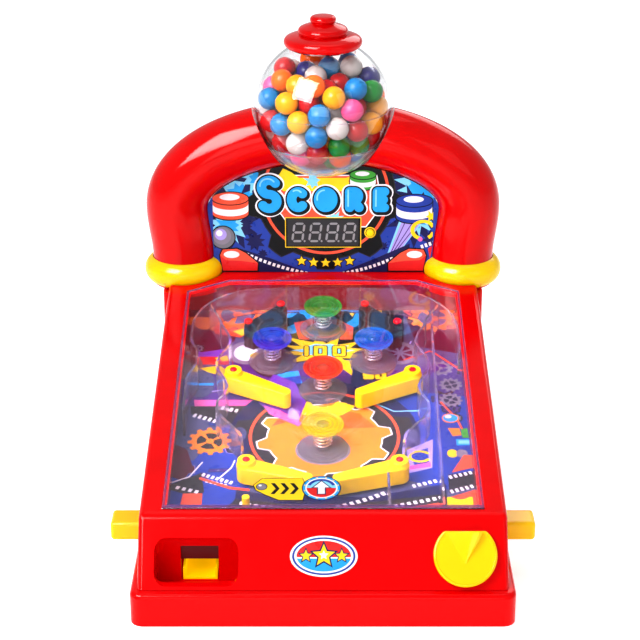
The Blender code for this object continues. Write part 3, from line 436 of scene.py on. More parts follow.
class Print:
    """Printed sheet: shapes in millimetres, each a thin film a little thicker than those under it.

    The outline is convex and runs anticlockwise. A bite is a circle (x, y, radius) kept free of print.
    """

    def __init__(self, outline, matrix, step, bite=None):
        self.outline, self.matrix, self.step, self.bite = outline, matrix, step, bite
        self.bm = bmesh.new()
        self.used = []
        self.level = 0.4

    def shape(self, colour, points, rise=1.0, clip=True):
        self.level += LAYER * rise
        points = tidy(clipped(points, self.outline) if clip else points)
        if self.bite and max(b for _, b in points or [(0, 0)]) > self.bite[1] - self.bite[2]:
            points = tidy(outside_circle(points, *self.bite))
        if len(points) < 3:
            return
        if colour not in self.used:
            self.used.append(colour)
        before = len(self.bm.faces)
        scaled = [(a * MM, b * MM) for a, b in points]
        prism(scaled, FILM_FOOT, self.level * self.step, self.matrix, self.bm)
        self.bm.faces.ensure_lookup_table()
        for face in self.bm.faces[before:]:
            face.material_index = self.used.index(colour)

    def merged(self, colour, corners, triangles):
        """Closed film over a flat set of triangles."""
        self.level += LAYER
        if colour not in self.used:
            self.used.append(colour)
        ends = [[self.bm.verts.new(self.matrix @ Vector((p.x * MM, p.y * MM, height))) for p in corners]
                for height in (FILM_FOOT, self.level * self.step)]
        sides = {(a, b) for tri in triangles for a, b in zip(tri, tri[1:] + tri[:1])}
        faces = [[ring_verts[i] for i in tri] for ring_verts in ends for tri in triangles]
        faces += [(ends[0][a], ends[0][b], ends[1][b], ends[1][a]) for a, b in sides if (b, a) not in sides]
        for corners_of_face in faces:
            self.bm.faces.new(corners_of_face).material_index = self.used.index(colour)
        bmesh.ops.delete(self.bm, geom=[v for ring_verts in ends for v in ring_verts if not v.link_faces],
                         context="VERTS")

    def outlined(self, colour, points, edge="black", width=1.2):
        self.shape(edge, grown(points, width))
        self.shape(colour, points)

    def piece(self, name, body, slot):
        return add(name, self.bm, [INKS[colour] for colour in self.used], body, smooth=20)


def grown(points, width):
    """Outline pushed outwards along its corner normals."""
    area = sum(p[0] * q[1] - q[0] * p[1] for p, q in zip(points, points[1:] + points[:1]))
    sign = 1 if area > 0 else -1
    result = []
    count = len(points)
    for i in range(count):
        here = Vector(points[i])
        before = (here - Vector(points[i - 1])).normalized()
        after = (Vector(points[(i + 1) % count]) - here).normalized()
        normal = Vector((before.y + after.y, -before.x - after.x))
        if normal.length < 1e-6:
            result.append(tuple(here))
            continue
        normal.normalize()
        reach = width / max(0.45, normal.dot(Vector((after.y, -after.x))))
        result.append(tuple(here + normal * reach * sign))
    return result


def ellipse(cx, cy, rx, ry=None, count=40):
    return arc(cx, cy, rx, 0, 360 - 360 / count, count - 1, rx if ry is None else ry)


def ring(cx, cy, outer, inner, start=0.0, end=359.9, count=64, flat=1.0):
    return (arc(cx, cy, outer, start, end, count, outer * flat)
            + arc(cx, cy, inner, end, start, count, inner * flat))


def sector(cx, cy, outer, inner, start, end):
    return arc(cx, cy, outer, start, end, 8) + arc(cx, cy, inner, end, start, 4)


def gear(cx, cy, tip, root, teeth, turn=0.0, share=0.48, slope=0.14):
    points = []
    half = 180 / teeth
    for k in range(teeth):
        middle = turn + 360 * k / teeth
        for offset, radius in ((-share - slope, root), (-share + slope, tip), (0, tip), (share - slope, tip),
                               (share + slope, root), (1, root)):
            angle = math.radians(middle + offset * half)
            points.append((cx + radius * math.cos(angle), cy + radius * math.sin(angle)))
    return points


def burst(cx, cy, outer, inner, count, turn, rng, flat=1.0):
    points = []
    for k in range(2 * count):
        radius = (outer if k % 2 == 0 else inner) * rng.uniform(0.84, 1.12)
        angle = math.radians(turn + 180 * k / count + rng.uniform(-4, 4))
        points.append((cx + radius * math.cos(angle), cy + radius * flat * math.sin(angle)))
    return points


def star(cx, cy, outer, inner):
    points = []
    for k in range(10):
        radius = outer if k % 2 == 0 else outer * inner
        angle = math.radians(90 + 36 * k)
        points.append((cx + radius * math.cos(angle), cy + radius * math.sin(angle)))
    return points


def stroke(points, half):
    """Outline of a thick line with round ends."""
    left, right = [], []
    for i, point in enumerate(points):
        here = Vector(point)
        after = Vector(points[min(i + 1, len(points) - 1)]) - Vector(points[max(i - 1, 0)])
        after.normalize()
        normal = Vector((-after.y, after.x))
        left.append(tuple(here + normal * half))
        right.append(tuple(here - normal * half))

    def cap(end, towards):
        direction = math.degrees(math.atan2(towards[1], towards[0]))
        return arc(end[0], end[1], half, direction + 80, direction - 80, 8)

    first, last = Vector(points[0]), Vector(points[-1])
    finish = last - Vector(points[-2])
    start = first - Vector(points[1])
    return left + cap(last, finish) + right[::-1] + cap(first, start)


def dashes(sheet, start, end, count, width=3.0, bow=0.0, length=0.55, colour="white"):
    """Row of perforations between two points, bowed sideways by a few millimetres."""
    first, last = Vector(start), Vector(end)
    along = (last - first).normalized()
    across = Vector((-along.y, along.x))
    pitch = (last - first).length / count
    sheet.level += LAYER
    for k in range(count):
        t = (k + 0.5) / count
        centre = first.lerp(last, t) + across * bow * 4 * t * (1 - t)
        a = along * pitch * length / 2
        b = across * width / 2
        corners = (centre - a - b, centre + a - b, centre + a + b, centre - a + b)
        sheet.shape(colour, [tuple(corner) for corner in corners], 0.0)


def spoked(sheet, cx, cy, tip, root, teeth, colour, hole="char", turn=20.0, spokes=4, edge=None):
    outline = gear(cx, cy, tip, root, teeth, turn)
    if edge:
        sheet.shape(edge, grown(outline, 0.9))
    sheet.shape(colour, outline)
    sheet.level += LAYER
    for k in range(spokes):
        start = turn + 360 / spokes * k + 11
        sheet.shape(hole, sector(cx, cy, root * 0.72, root * 0.22, start, start + 360 / spokes - 22), 0.0)
    sheet.level += LAYER


# ---------------------------------------------------------------- playfield print
def clutter(sheet, rng):
    """Small plates, rivets, pipes and cogs that fill the ground between the large drawings."""
    for _ in range(34):
        x, y = rng.uniform(-100, 100), rng.uniform(10, 280)
        wide, high, lean = rng.uniform(4, 13), rng.uniform(3, 9), rng.uniform(-3, 3)
        plate = [(x, y), (x + wide, y + lean), (x + wide + lean, y + high), (x + lean, y + high - lean)]
        colour = rng.choice(("navy", "deep", "slate", "violet", "char", "maroon", "blue"))
        sheet.outlined(colour, plate, rng.choice(("black", "lilac", "navy")), 0.45)
        sheet.shape("grey", ellipse(x + wide * 0.5, y + high * 0.45, 0.8, 0.8, 10), 0.1)
    for _ in range(14):
        x, y, reach = rng.uniform(-98, 98), rng.uniform(12, 278), rng.uniform(6, 16)
        bend = rng.uniform(-6, 6)
        pipe = [(x, y), (x + reach * 0.5, y + bend), (x + reach, y + bend * 0.4),
                (x + reach * 1.3, y - bend)]
        sheet.shape("black", stroke(pipe, 1.3))
        sheet.shape(rng.choice(("slate", "purple", "lilac", "maroon", "blue", "coral")), stroke(pipe, 0.8))
    for _ in range(9):
        x, y = rng.uniform(-96, 96), rng.uniform(14, 274)
        size = rng.uniform(3.5, 6.5)
        spoked(sheet, x, y, size, size * 0.78, 9, rng.choice(("slate", "grey", "violet", "brown")), "deep",
               rng.uniform(0, 60), 3, "black")


def ground(sheet):
    """Broad fields of colour under all the drawings."""
    left, right = -PLAY_HALF, PLAY_HALF
    draw = sheet.shape
    draw("slate", sheet.outline)
    draw("violet", [(left, 196), (-60, 214), (-30, 200), (30, 204), (60, 200), (right, 214), (right, 150),
                    (70, 140), (-66, 146), (left, 160)])
    draw("blue", [(-66, 140), (-48, 70), (-58, 24), (left, 30), (left, 98), (-88, 92)])
    draw("blue", [(48, 176), (right, 168), (right, 76), (84, 60), (58, 70), (56, 140)])
    draw("maroon", [(left, 290), (left, 226), (-78, 220), (-66, 240), (-60, 290)])
    draw("maroon", [(right, 290), (right, 222), (70, 232), (60, 290)])


def rear_plates(sheet):
    draw = sheet.shape
    draw("purple", [(-98, 230), (-90, 224), (-74, 228), (-66, 222), (-72, 214), (-98, 212)])
    draw("red", [(-91, 218), (-66, 218), (-66, 208), (-91, 208)])
    draw("yellow", [(-80, 216), (-72, 220), (-66, 214), (-76, 212)])
    draw("brown", ellipse(-98, 205, 10, 16))
    draw("black", [(-64, 262), (-8, 292), (62, 292), (60, 232), (34, 222), (-30, 222), (-52, 240)])


def rear_machines(sheet):
    """Gears and plates in the two rear corners."""
    draw = sheet.shape
    draw("coral", [(-88, 284), (-40, 292), (-30, 292), (-34, 270), (-62, 244), (-80, 250)])
    spoked(sheet, -65, 276, 22, 18.5, 12, "amber", "slate", 10, 3, "maroon")
    draw("orange", [(-PLAY_HALF, 272), (-82, 272), (-81, 254), (-95, 256), (-PLAY_HALF, 262)])
    draw("yellow", [(-68, 252), (-56, 258), (-56, 249), (-61, 246)])
    draw("yellow", [(-50, 282), (-33, 290), (-19, 291), (-20, 284), (-36, 278)])
    draw("coral", [(60, 292), (PLAY_HALF, 292), (PLAY_HALF, 256), (88, 256), (76, 262), (62, 280)])
    spoked(sheet, 84, 271, 19, 16, 12, "orange", "slate", 0, 3, "maroon")
    draw("yellow", [(14, 292), (46, 292), (44, 263), (34, 269), (26, 264)])


def rear_tubes(sheet):
    """Curled cyan tubes round the rear bumper."""
    draw = sheet.shape
    for points in ([(-27, 276), (-20, 283), (-11, 279), (-7, 270)], [(-24, 254), (-17, 261), (-12, 252)]):
        draw("black", stroke(points, 6.4))
        draw("cyan", stroke(points, 5.2))
    hook = [(8, 284), (20, 285), (29, 279), (27, 268), (22, 262)]
    draw("black", stroke(hook, 5.6))
    draw("cyan", stroke(hook, 4.5))
    draw("sky", stroke([(10, 285.5), (20, 286.6), (26, 283)], 1.0))
    draw("coral", [(-22, 264), (-10, 268), (12, 268), (23, 258), (22, 241), (-18, 241)])
    draw("char", ellipse(0, 254, 13, 9))


def score_burst(sheet, rng):
    """Burst with the number 100 between the upper bumpers."""
    draw = sheet.shape
    sheet.outlined("yellow", burst(0, 224, 36, 20, 12, 8, rng, 0.66), "char", 1.3)
    draw("sky", burst(0, 226, 22, 15, 10, 0, rng, 0.5))
    for x0, digit in ((-15.5, 1), (-2.0, 0), (12.0, 0)):
        number(sheet, x0, 225.5, digit, 8.4, 12.5)
    draw("yellow", [(10, 214), (14, 203), (24, 190), (20, 205), (30, 212)])


def upper_wheels(sheet):
    """Wheels and dark plates under the upper bumpers."""
    draw = sheet.shape
    for x in (-57, 57):
        draw("grey", ellipse(x, 223, 13, 15))
        draw("maroon" if x > 0 else "white", ellipse(x, 223, 9, 10.5))
        if x > 0:
            for k in range(4):
                a = math.radians(25 + 45 * k)
                tip = (10 * math.cos(a), 11.5 * math.sin(a))
                draw("grey", stroke([(x - tip[0], 223 - tip[1]), (x + tip[0], 223 + tip[1])], 1.0), 0.2)
        else:
            draw("yellow", ellipse(x + 7, 219, 4, 4))
    draw("char", ellipse(-37, 209, 15, 17))
    draw("brown", ellipse(37, 207, 16, 17))
    draw("navy", [(22, 205), (46, 198), (40, 160), (26, 164), (20, 186)])
    draw("cyan", [(-34, 196), (-18, 200), (-14, 178), (-26, 176)])
    draw("blue", [(-30, 190), (-16, 194), (-16, 172), (-32, 176)])


def left_machines(sheet):
    draw = sheet.shape
    draw("slate", ellipse(-88, 183, 10, 17))
    draw("cyan", [(-97, 184), (-79, 184), (-79, 181), (-97, 181)])
    draw("yellow", [(-90, 203), (-76, 206), (-66, 196), (-70, 192), (-84, 198)])
    draw("pink", [(-92, 163), (-47, 163), (-48, 155.5), (-91, 155.5)])
    draw("char", [(-94, 155), (-48, 156), (-50, 142), (-70, 132), (-93, 146)])
    dashes(sheet, (-92, 145), (-74, 137), 5, 4)
    dashes(sheet, (-74, 154), (-52, 147), 6, 4)


def centre_gear(sheet):
    """Orange gear over its dark socket, with the tubes above it."""
    draw = sheet.shape
    draw("navy", ellipse(1, 122, 66, 64))
    draw("char", gear(1, 121, 63, 53, 9, 12, 0.5, 0.12))
    draw("coral", ring(1, 120, 52.5, 50.3))
    draw("char", ellipse(1, 120, 48))
    wheel = gear(1, 117.5, 46.5, 39.5, 10, 10, 0.40, 0.16)
    draw("white", grown(wheel, 1.1))
    draw("orange", wheel)
    draw("amber", [(-32, 138), (-20, 150), (6, 154), (26, 146), (37, 130), (10, 128), (-12, 131)])
    draw("coral", [(-36, 131), (-22, 138), (-30, 143)])
    draw("grey", ellipse(0, 104, 19, 17))
    draw("yellow", ring(0, 162, 17, 9, 190, 350))
    draw("yellow", sector(0, 166, 25, 12, 205, 335))
    draw("purple", [(-46, 160), (-36, 196), (-20, 184), (-12, 160), (-17, 138), (-34, 142)])
    draw("pink", [(-42, 156), (-38, 146), (-17, 131), (-15, 136), (-30, 150)])
    draw("lilac", [(-24, 154), (-18, 150), (-17, 138), (-25, 142)])


def left_films(sheet):
    """Spoked gear and film strips at the front left."""
    draw = sheet.shape
    spoked(sheet, -78, 114, 15.5, 12.8, 12, "orange", "char", 34, 4)
    draw("slate", ellipse(-58, 122, 5, 8))
    draw("maroon", [(-PLAY_HALF, 110), (-93, 104), (-88, 84), (-94, 70), (-PLAY_HALF, 74)])
    draw("char", [(-PLAY_HALF, 66), (-82, 78), (-79, 58), (-84, 52), (-PLAY_HALF, 60)])
    draw("coral", [(-93, 56), (-80, 56), (-80, 44), (-94, 44)])
    dashes(sheet, (-99, 63), (-82, 57), 4, 3.4)
    dashes(sheet, (-82, 77), (-60, 67), 7, 3.2)
    dashes(sheet, (-79, 70), (-64, 64), 5, 3.2)
    draw("white", stroke([(-101, 68), (-90, 74), (-82, 90)], 0.5))
    draw("white", stroke([(-70, 72), (-62, 84), (-60, 92)], 0.5))
    draw("coral", stroke([(-82, 72), (-62, 62), (-50, 60)], 1.2))


def right_machines(sheet):
    """Cogs, the number 50, lamps and film strips along the right side."""
    draw = sheet.shape
    spoked(sheet, 92, 182, 8.5, 6.8, 11, "grey", "deep", 20, 4)
    spoked(sheet, 86, 203, 9, 7.4, 10, "grey", "violet", 5, 3)
    spoked(sheet, 91, 163, 8.5, 6.8, 11, "grey", "deep", 60, 4)
    for x0, digit in ((33.0, 5), (42.0, 0)):
        number(sheet, x0, 193.5, digit, 6.4, 7.5)
    draw("coral", stroke([(60, 214), (80, 226), (101, 200)], 0.7))
    draw("coral", stroke([(84, 160), (94, 140), (99, 120)], 0.7))
    sheet.outlined("cyan", ellipse(89.5, 141, 5.2, 4.6), "orange", 0.8)
    draw("white", ellipse(88, 142.6, 2.4, 2.0))
    draw("orange", [(87, 129), (95, 129), (96, 121), (90, 120)])
    draw("green", [(96, 128), (100.5, 129), (101, 118), (96.5, 118)])
    draw("cyan", [(92, 116), (101, 116), (101, 109.5), (92, 109.5)])
    draw("sky", [(93.5, 114.8), (101, 114.8), (101, 111), (93.5, 111)])
    draw("yellow", ellipse(88.5, 100, 3.6, 4.4))
    draw("grey", ellipse(95, 100, 4.0, 4.4))
    draw("coral", [(87, 79), (96, 98), (101.4, 98), (101.4, 84)])
    draw("slate", ellipse(61, 121, 4.4, 7.6))
    draw("sky", stroke([(38, 158), (50, 149), (70, 150)], 0.5))
    draw("lilac", [(56, 104), (76, 116), (74, 84), (58, 78)])
    draw("blue", [(60, 100), (72, 106), (72, 90), (62, 86)])
    draw("yellow", ring(66, 96.5, 8.4, 5.8, 30, 330, 40, 0.8))
    draw("pink", [(57, 85.5), (73, 90), (73, 85), (57, 81)])
    draw("char", [(84, 76), (101.4, 80), (101.4, 62), (84, 57)])
    dashes(sheet, (84, 73), (101, 79), 5, 3.4)
    dashes(sheet, (84, 57.5), (101, 64), 5, 3.4)
    draw("coral", [(84, 52), (101.4, 60), (101.4, 40), (84, 38)])
    dashes(sheet, (59, 63.5), (77, 70), 5, 3.2)


def front_film(sheet):
    """Long film strip along the front."""
    draw = sheet.shape
    draw("navy", [(-58, 60), (-30, 52), (30, 52), (82, 66), (82, 50), (30, 30), (-30, 30), (-58, 44)])
    draw("char", [(-58, 50), (0, 41), (82, 56), (82, 20), (-PLAY_HALF, 12), (-PLAY_HALF, 36), (-70, 30)])
    dashes(sheet, (-56, 46), (-8, 38), 10, 3.4, -1.5)
    dashes(sheet, (8, 41), (42, 57), 8, 3.8, -1.0)
    dashes(sheet, (46, 42), (80, 52), 8, 3.4)
    draw("coral", [(60, 42), (76, 46), (82, 36), (64, 32)])
    draw("violet", [(-PLAY_HALF, 40), (-70, 34), (-60, 14), (-PLAY_HALF, 14)])
    draw("yellow", [(-54, 34), (-46, 34), (-46, 12), (-54, 12)])


def playfield_print():
    left, right, low, high = -PLAY_HALF, PLAY_HALF, PLAY_FRONT, PLAY_END
    outline = [(left, low), (right, low), (right, high), (left, high)]
    sheet = Print(outline, PLAY, 0.00007)
    rng = random.Random(11)
    ground(sheet)
    clutter(sheet, random.Random(8))
    rear_plates(sheet)
    rear_machines(sheet)
    rear_tubes(sheet)
    score_burst(sheet, rng)
    upper_wheels(sheet)
    left_machines(sheet)
    centre_gear(sheet)
    left_films(sheet)
    right_machines(sheet)
    front_film(sheet)
    return sheet.piece("playfield_print", "cabinet", "printed_board")


SEGMENTS = {"a": ((0, 2), (1, 2)), "b": ((1, 2), (1, 1)), "c": ((1, 1), (1, 0)), "d": ((0, 0), (1, 0)),
            "e": ((0, 0), (0, 1)), "f": ((0, 1), (0, 2)), "g": ((0, 1), (1, 1))}
DIGITS = {0: "abcdef", 1: "bc", 5: "afgcd", 8: "abcdefg"}


def number(sheet, x, y, digit, width, height):
    """Plain block digit in yellow with a dark edge, centred on a point."""
    for colour, half in (("black", 2.4), ("yellow", 1.55)):
        for name in DIGITS[digit]:
            ends = [(x + (a - 0.5) * width * 0.78, y + (b - 1) * height * 0.42) for a, b in SEGMENTS[name]]
            sheet.shape(colour, stroke(ends, half), 0.02)
        sheet.level += LAYER


# ---------------------------------------------------------------- score panel print
def arch_point(t):
    """Centre line of the arch from the left foot (t=0) to the top (t=1): x and z."""
    leg = ARCH_SPRING - ARCH_FOOT[1]
    quarter = 1.5708 * (ARCH_HALF + ARCH_RISE) / 2
    share = leg / (leg + quarter)
    if t < share:
        u = t / share
        lean = max(0.0, (u * leg - ARCH_STRAIGHT) / (leg - ARCH_STRAIGHT))
        ease = lean * lean * (3 - 2 * lean)
        return -(ARCH_FOOT[0] + (ARCH_HALF - ARCH_FOOT[0]) * ease), ARCH_FOOT[1] + leg * u
    angle = math.pi - (t - share) / (1 - share) * math.pi / 2
    return ARCH_HALF * math.cos(angle), ARCH_SPRING + ARCH_RISE * math.sin(angle)


def arch_frames(side, end, count):
    frames = []
    for k in range(count + 1):
        t = end * k / count
        x, z = arch_point(t)
        x1, z1 = arch_point(min(1.0, t + 0.004))
        x0, z0 = arch_point(max(0.0, t - 0.004))
        along = Vector((x1 - x0, 0, z1 - z0)).normalized() if k else Vector((0, 0, 1))
        point, out = Vector((x, ARCH_Y, z)), Vector((-along.z, 0, along.x))
        if side > 0:
            point.x, out.x = -point.x, -out.x
        frames.append((point, out, Vector((0, 1, 0))))
    return frames


def panel_outline():
    points = []
    for point, out, _ in arch_frames(-1, 1.0, 40):
        inside = point - out * (ARCH_TUBE - 0.0003)
        if inside.z > 0.122 and inside.x < -0.001:
            points.append((inside.x * 1000, inside.z * 1000))
    low = [(points[0][0], 112.9)] + [p for p in points if p[0] <= points[0][0] or p[1] > 150]
    return [(-x, z) for x, z in low] + low[::-1]


LETTERS = {
    "S": [arc(0, 0.735, 0.36, 35, 270, 16, 0.235) + arc(0, 0.265, 0.36, 90, -145, 16, 0.235)[1:]],
    "C": [arc(0, 0.5, 0.40, 48, 312, 22, 0.44)],
    "O": [arc(0, 0.5, 0.40, 90, 449.5, 28, 0.44)],
    "R": [[(-0.30, 0.06), (-0.30, 0.94)],
          [(-0.30, 0.94), (0.02, 0.94)] + arc(0.02, 0.70, 0.28, 80, -90, 10, 0.24) + [(-0.30, 0.46)],
          [(-0.02, 0.44), (0.34, 0.06)]],
    "E": [[(-0.28, 0.06), (-0.28, 0.94)], [(-0.28, 0.94), (0.30, 0.94)], [(-0.28, 0.50), (0.20, 0.50)],
          [(-0.28, 0.06), (0.30, 0.06)]]}


def thick(sheet, colour, paths, half):
    """Thick round-ended lines merged into one flat shape, safe round tight bends and crossings."""
    corners, faces = [], []
    for points in paths:
        for first, second in zip(points, points[1:]):
            outline = stroke([first, second], half)
            faces.append(list(range(len(corners), len(corners) + len(outline))))
            corners += [Vector(p) for p in outline]
    points, _, triangles, _, _, covered_by = delaunay_2d_cdt(corners, [], faces, 1, 1e-5)
    sheet.merged(colour, points, [tri for tri, strokes in zip(triangles, covered_by) if strokes])


def lettered(sheet, word, half):
    """Cyan word of thick round strokes; each entry of word is a letter, x, z, width and height."""
    coats = (("white", 2.8, 0.4, -0.5), ("black", 1.4, 0.8, -1.1), ("black", 1.1, 0, 0), ("cyan", 0.0, 0, 0))
    for colour, extra, right, up in coats:
        for letter, x, z, width, height in word:
            paths = [[(x + right + a * (width - 2 * half) / 0.8, z + up + half + b * (height - 2 * half))
                      for a, b in path] for path in LETTERS[letter]]
            thick(sheet, colour, paths, half + extra)
    for letter, x, z, width, height in word:
        points = [(x - 1.1 + a * (width - 2 * half) / 0.8, z + 1.2 + half + b * (height - 2 * half))
                  for a, b in LETTERS[letter][0]]
        sheet.shape("sky", stroke(points[:max(2, len(points) // 3)], 0.6), 1.0)


def drawn_bumper(sheet, x, z, radius, depth, colour):
    """Picture of a round bumper seen from above its front."""
    flat = 0.36
    body = arc(x, z, radius, 180, 360, 16, radius * flat)
    lower = [(a, b - depth) for a, b in body]
    sheet.outlined(colour, body[::-1] + lower, "black", 0.9)
    band = [(a, b - depth * 0.35) for a, b in body]
    sheet.shape("white", band[::-1] + [(a, b + depth * 0.22) for a, b in lower])
    sheet.outlined(colour, ellipse(x, z, radius, radius * flat), "black", 0.7)
    sheet.shape("white", ellipse(x - 0.5, z + radius * 0.08, radius * 0.56, radius * 0.19))


def drawn_flipper(sheet, side):
    rim = [(78.6, 126.5), (76.5, 131.2), (65.5, 131.8), (59, 128.4), (49.8, 120.2)]
    body = rim + [(50.2, 114), (76.5, 114)]
    top = rim + [(62, 122.0), (74, 122.6)]
    points = [(side * x, z) for x, z in body]
    sheet.outlined("red", points if side < 0 else points[::-1], "black", 1.0)
    sheet.shape("coral", [(side * x, z) for x, z in top][::-side])
    sheet.shape("white", ellipse(side * 69.8, 127.2, 6.0, 2.9))


def sky_bursts(sheet, rng):
    """Light blue bursts in navy ones in the panel's corners, and small navy splashes lower down."""
    draw = sheet.shape
    for x, z, size in ((-62, 176, 24), (74, 182, 26), (-72, 152, 20), (70, 158, 20), (-48, 190, 18)):
        draw("navy", burst(x, z, size * 1.2, size * 0.7, 11, rng.uniform(0, 90), rng))
        draw("sky", burst(x, z, size * 0.8, size * 0.5, 12, rng.uniform(0, 90), rng))
        draw("cyan", burst(x, z - 2, size * 0.5, size * 0.3, 10, rng.uniform(0, 90), rng))
    for x, z, size in ((-52, 138, 8), (-58, 150, 5), (-46, 128, 4), (46, 134, 4), (84, 140, 9)):
        draw("navy", burst(x, z, size, size * 0.6, 9, rng.uniform(0, 90), rng))


def panel_gear(sheet, rng):
    """Black gear with a coral ring, and the coral and yellow fields behind the word."""
    draw = sheet.shape
    hub = (2, 175.5)
    draw("char", gear(*hub, 61, 53, 9, 30, 0.45, 0.14))
    draw("black", gear(*hub, 60, 52, 9, 30, 0.45, 0.14))
    draw("coral", ring(*hub, 48.2, 46.0))
    draw("black", ellipse(*hub, 45))
    field = [(-37, 190), (-37, 166), (-31, 159.5), (-24.6, 150), (32.3, 150), (39, 159.5), (44, 168),
             (40, 190)]
    sheet.outlined("coral", field[::-1], "white", 0.9)
    draw("sky", burst(9, 156, 8, 4, 8, 20, rng, 0.8))
    draw("yellow", [(-36, 186), (-30, 196), (-24, 193), (-18, 188.5), (17, 188.5), (22, 190), (19, 186),
                    (22, 182), (14, 178), (-30, 178)])
    draw("sky", burst(-8, 186, 7, 3.6, 7, 10, rng))


def panel_bumpers(sheet, rng):
    """Three pictured bumpers, the right one on its beam of light, and the yellow tube and burst beside it."""
    draw = sheet.shape
    drawn_bumper(sheet, 30, 191, 9.6, 8.5, "green")
    drawn_bumper(sheet, -70, 172.2, 13.6, 12.0, "coral")
    draw("sky", [(56.5, 126.5), (48.6, 126.5), (59, 158), (79, 158), (66, 140)])
    draw("lilac", [(56, 126.5), (50, 126.5), (61, 158), (77.5, 158)])
    for x0, x1 in ((63, 52), (69, 53.5), (74, 55)):
        draw("violet", stroke([(x0, 155), (x1, 129)], 0.35))
    drawn_bumper(sheet, 69, 170.4, 13.6, 13.0, "blue")
    draw("yellow", ring(76, 147, 9.6, 6.6, 20, 260, 40, 0.86))
    draw("yellow", ring(76, 147, 9.6, 6.6, 300, 345, 12, 0.86))
    draw("pink", ellipse(74, 139.5, 1.8, 1.8))
    draw("yellow", burst(82, 158, 5, 2.4, 6, 0, rng))
    draw("red", [(84, 112), (92, 112), (92, 140), (80, 132)])


def drawn_ball(sheet, x, z):
    for colour, radius, dx, dz in (("black", 9.6, 0, 0), ("steel", 8.8, 0, 0), ("grey", 7.0, -0.8, 1.2),
                                   ("lilac", 4.6, -1.8, 2.4), ("white", 2.4, -2.8, 3.4)):
        sheet.shape(colour, ellipse(x + dx, z + dz, radius))


def panel_foot(sheet):
    """Film strips, flippers and a bowed row of five stars along the panel's foot."""
    draw = sheet.shape
    draw("navy", [(-66, 133), (-40, 124), (-10, 112), (-66, 112)])
    draw("navy", [(66, 136), (40, 124), (12, 112), (66, 112)])
    dashes(sheet, (-66, 131.5), (-11, 111.6), 16, 2.6, -2.2, 0.6)
    dashes(sheet, (14, 111.6), (54, 124.5), 12, 2.6, -1.6, 0.6)
    dashes(sheet, (74, 133), (86, 137.5), 4, 3.0, 0, 0.6)
    drawn_flipper(sheet, -1)
    drawn_flipper(sheet, 1)
    for k in range(5):
        x = 2 + (k - 2) * 9.2
        z = 122.0 - 1.6 * (1 - ((k - 2) / 2) ** 2)
        draw("black", star(x, z, 5.4, 0.5))
        draw("yellow", star(x, z, 4.0, 0.46))


def display_frame(sheet):
    """Yellow line round the display and round the reset button."""
    for colour, edge in (("yellow", 0.0), ("black", 0.6)):
        sheet.shape(colour, [(-28.8 + edge, 132.9 + edge), (29.0 - edge, 132.9 + edge),
                             (29.0 - edge, 157.2 - edge), (-28.8 + edge, 157.2 - edge)])
    sheet.shape("yellow", ellipse(35.8, 145, 4.4))
    sheet.shape("black", ellipse(35.8, 145, 3.5))


def panel_print():
    rng = random.Random(5)
    matrix = Matrix.Translation((0, GLASS_Y, 0)) @ Matrix.Rotation(math.pi / 2, 4, "X")
    sheet = Print(panel_outline(), matrix, 0.00016, (0, GLOBE_Z / MM, 52.7))
    sheet.shape("blue", sheet.outline, clip=False)
    sky_bursts(sheet, rng)
    panel_gear(sheet, rng)
    panel_bumpers(sheet, rng)
    drawn_ball(sheet, -76, 141)
    panel_foot(sheet)
    display_frame(sheet)
    word = [("S", -40.6, 160.0, 20.0, 31.0)]
    word += [(letter, x, 160.6, width, 21.5) for letter, x, width in
             (("C", -18.8, 17.0), ("O", 2.0, 18.0), ("R", 23.4, 16.0), ("E", 43.6, 14.5))]
    lettered(sheet, word, 3.6)
    return sheet.piece("score_panel_print", "cabinet", "printed_card")


def boxed(low, high):
    outline = [(low[0], low[1]), (high[0], low[1]), (high[0], high[1]), (low[0], high[1])]
    return prism(outline, low[2], high[2])


def display_digits():
    """Four seven-segment digits with points, grey and unlit, on the display's dark face."""
    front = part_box("score_display")[0].y
    matrix = Matrix.Translation((0, front, 0)) @ Matrix.Rotation(math.pi / 2, 4, "X")
    sheet = Print([(-26, 135), (26, 135), (26, 155), (-26, 155)], matrix, 0.0002)
    for k in range(4):
        x0 = -19.6 + k * 12.9
        for name in DIGITS[8]:
            (ax, ay), (bx, by) = SEGMENTS[name]
            start, end = Vector((ax * 7.6, ay * 7.0)), Vector((bx * 7.6, by * 7.0))
            along = (end - start).normalized()
            across = Vector((-along.y, along.x))
            start, end = start + along * 0.5, end - along * 0.5
            bar = [start, start + along + across * 0.85, end - along + across * 0.85, end,
                   end - along - across * 0.85, start + along - across * 0.85]
            sheet.shape("segment", [(x0 - 3.8 + p.x + p.y * 0.13, 138.2 + p.y) for p in bar], 0.0)
        sheet.shape("segment", ellipse(x0 + 5.6, 138.2, 0.8, 0.8, 12), 0.0)
    return sheet.piece("display_digits", "cabinet", "black_plastic")


# ---------------------------------------------------------------- playfield pieces
def on_play(x, s):
    return PLAY @ Matrix.Translation((x, s, 0))


def bumper(colour):
    """Smoky base disc, steel spring and ringed cap."""
    place = on_play(*BUMPERS[colour])
    body = "bumper_" + colour
    base = [(0, 0.0005), (0.0168, 0.0005), (0.0175, 0.0007), (0.0173, 0.0011), (0.0150, 0.0013),
            (0.0146, 0.0017), (0.0138, 0.0014), (0.0105, 0.0016), (0.0101, 0.0020), (0.0094, 0.0017),
            (0.0046, 0.0020), (0.0038, 0.0033), (0, 0.0034)]
    add("base_disc_" + colour, turned(base, 80, place), CLEAR_DISC, "cabinet",
        ("bumper_base_" + colour,), 50)
    spring = coil(0.0058, 0.00070, 5.5, 0.0128, place @ Matrix.Translation((0, 0, 0.0043)))
    add("spring_" + colour, spring, WIRE, body, ("bumper_spring_" + colour,), 60)
    bumper_cap(colour, place, body)


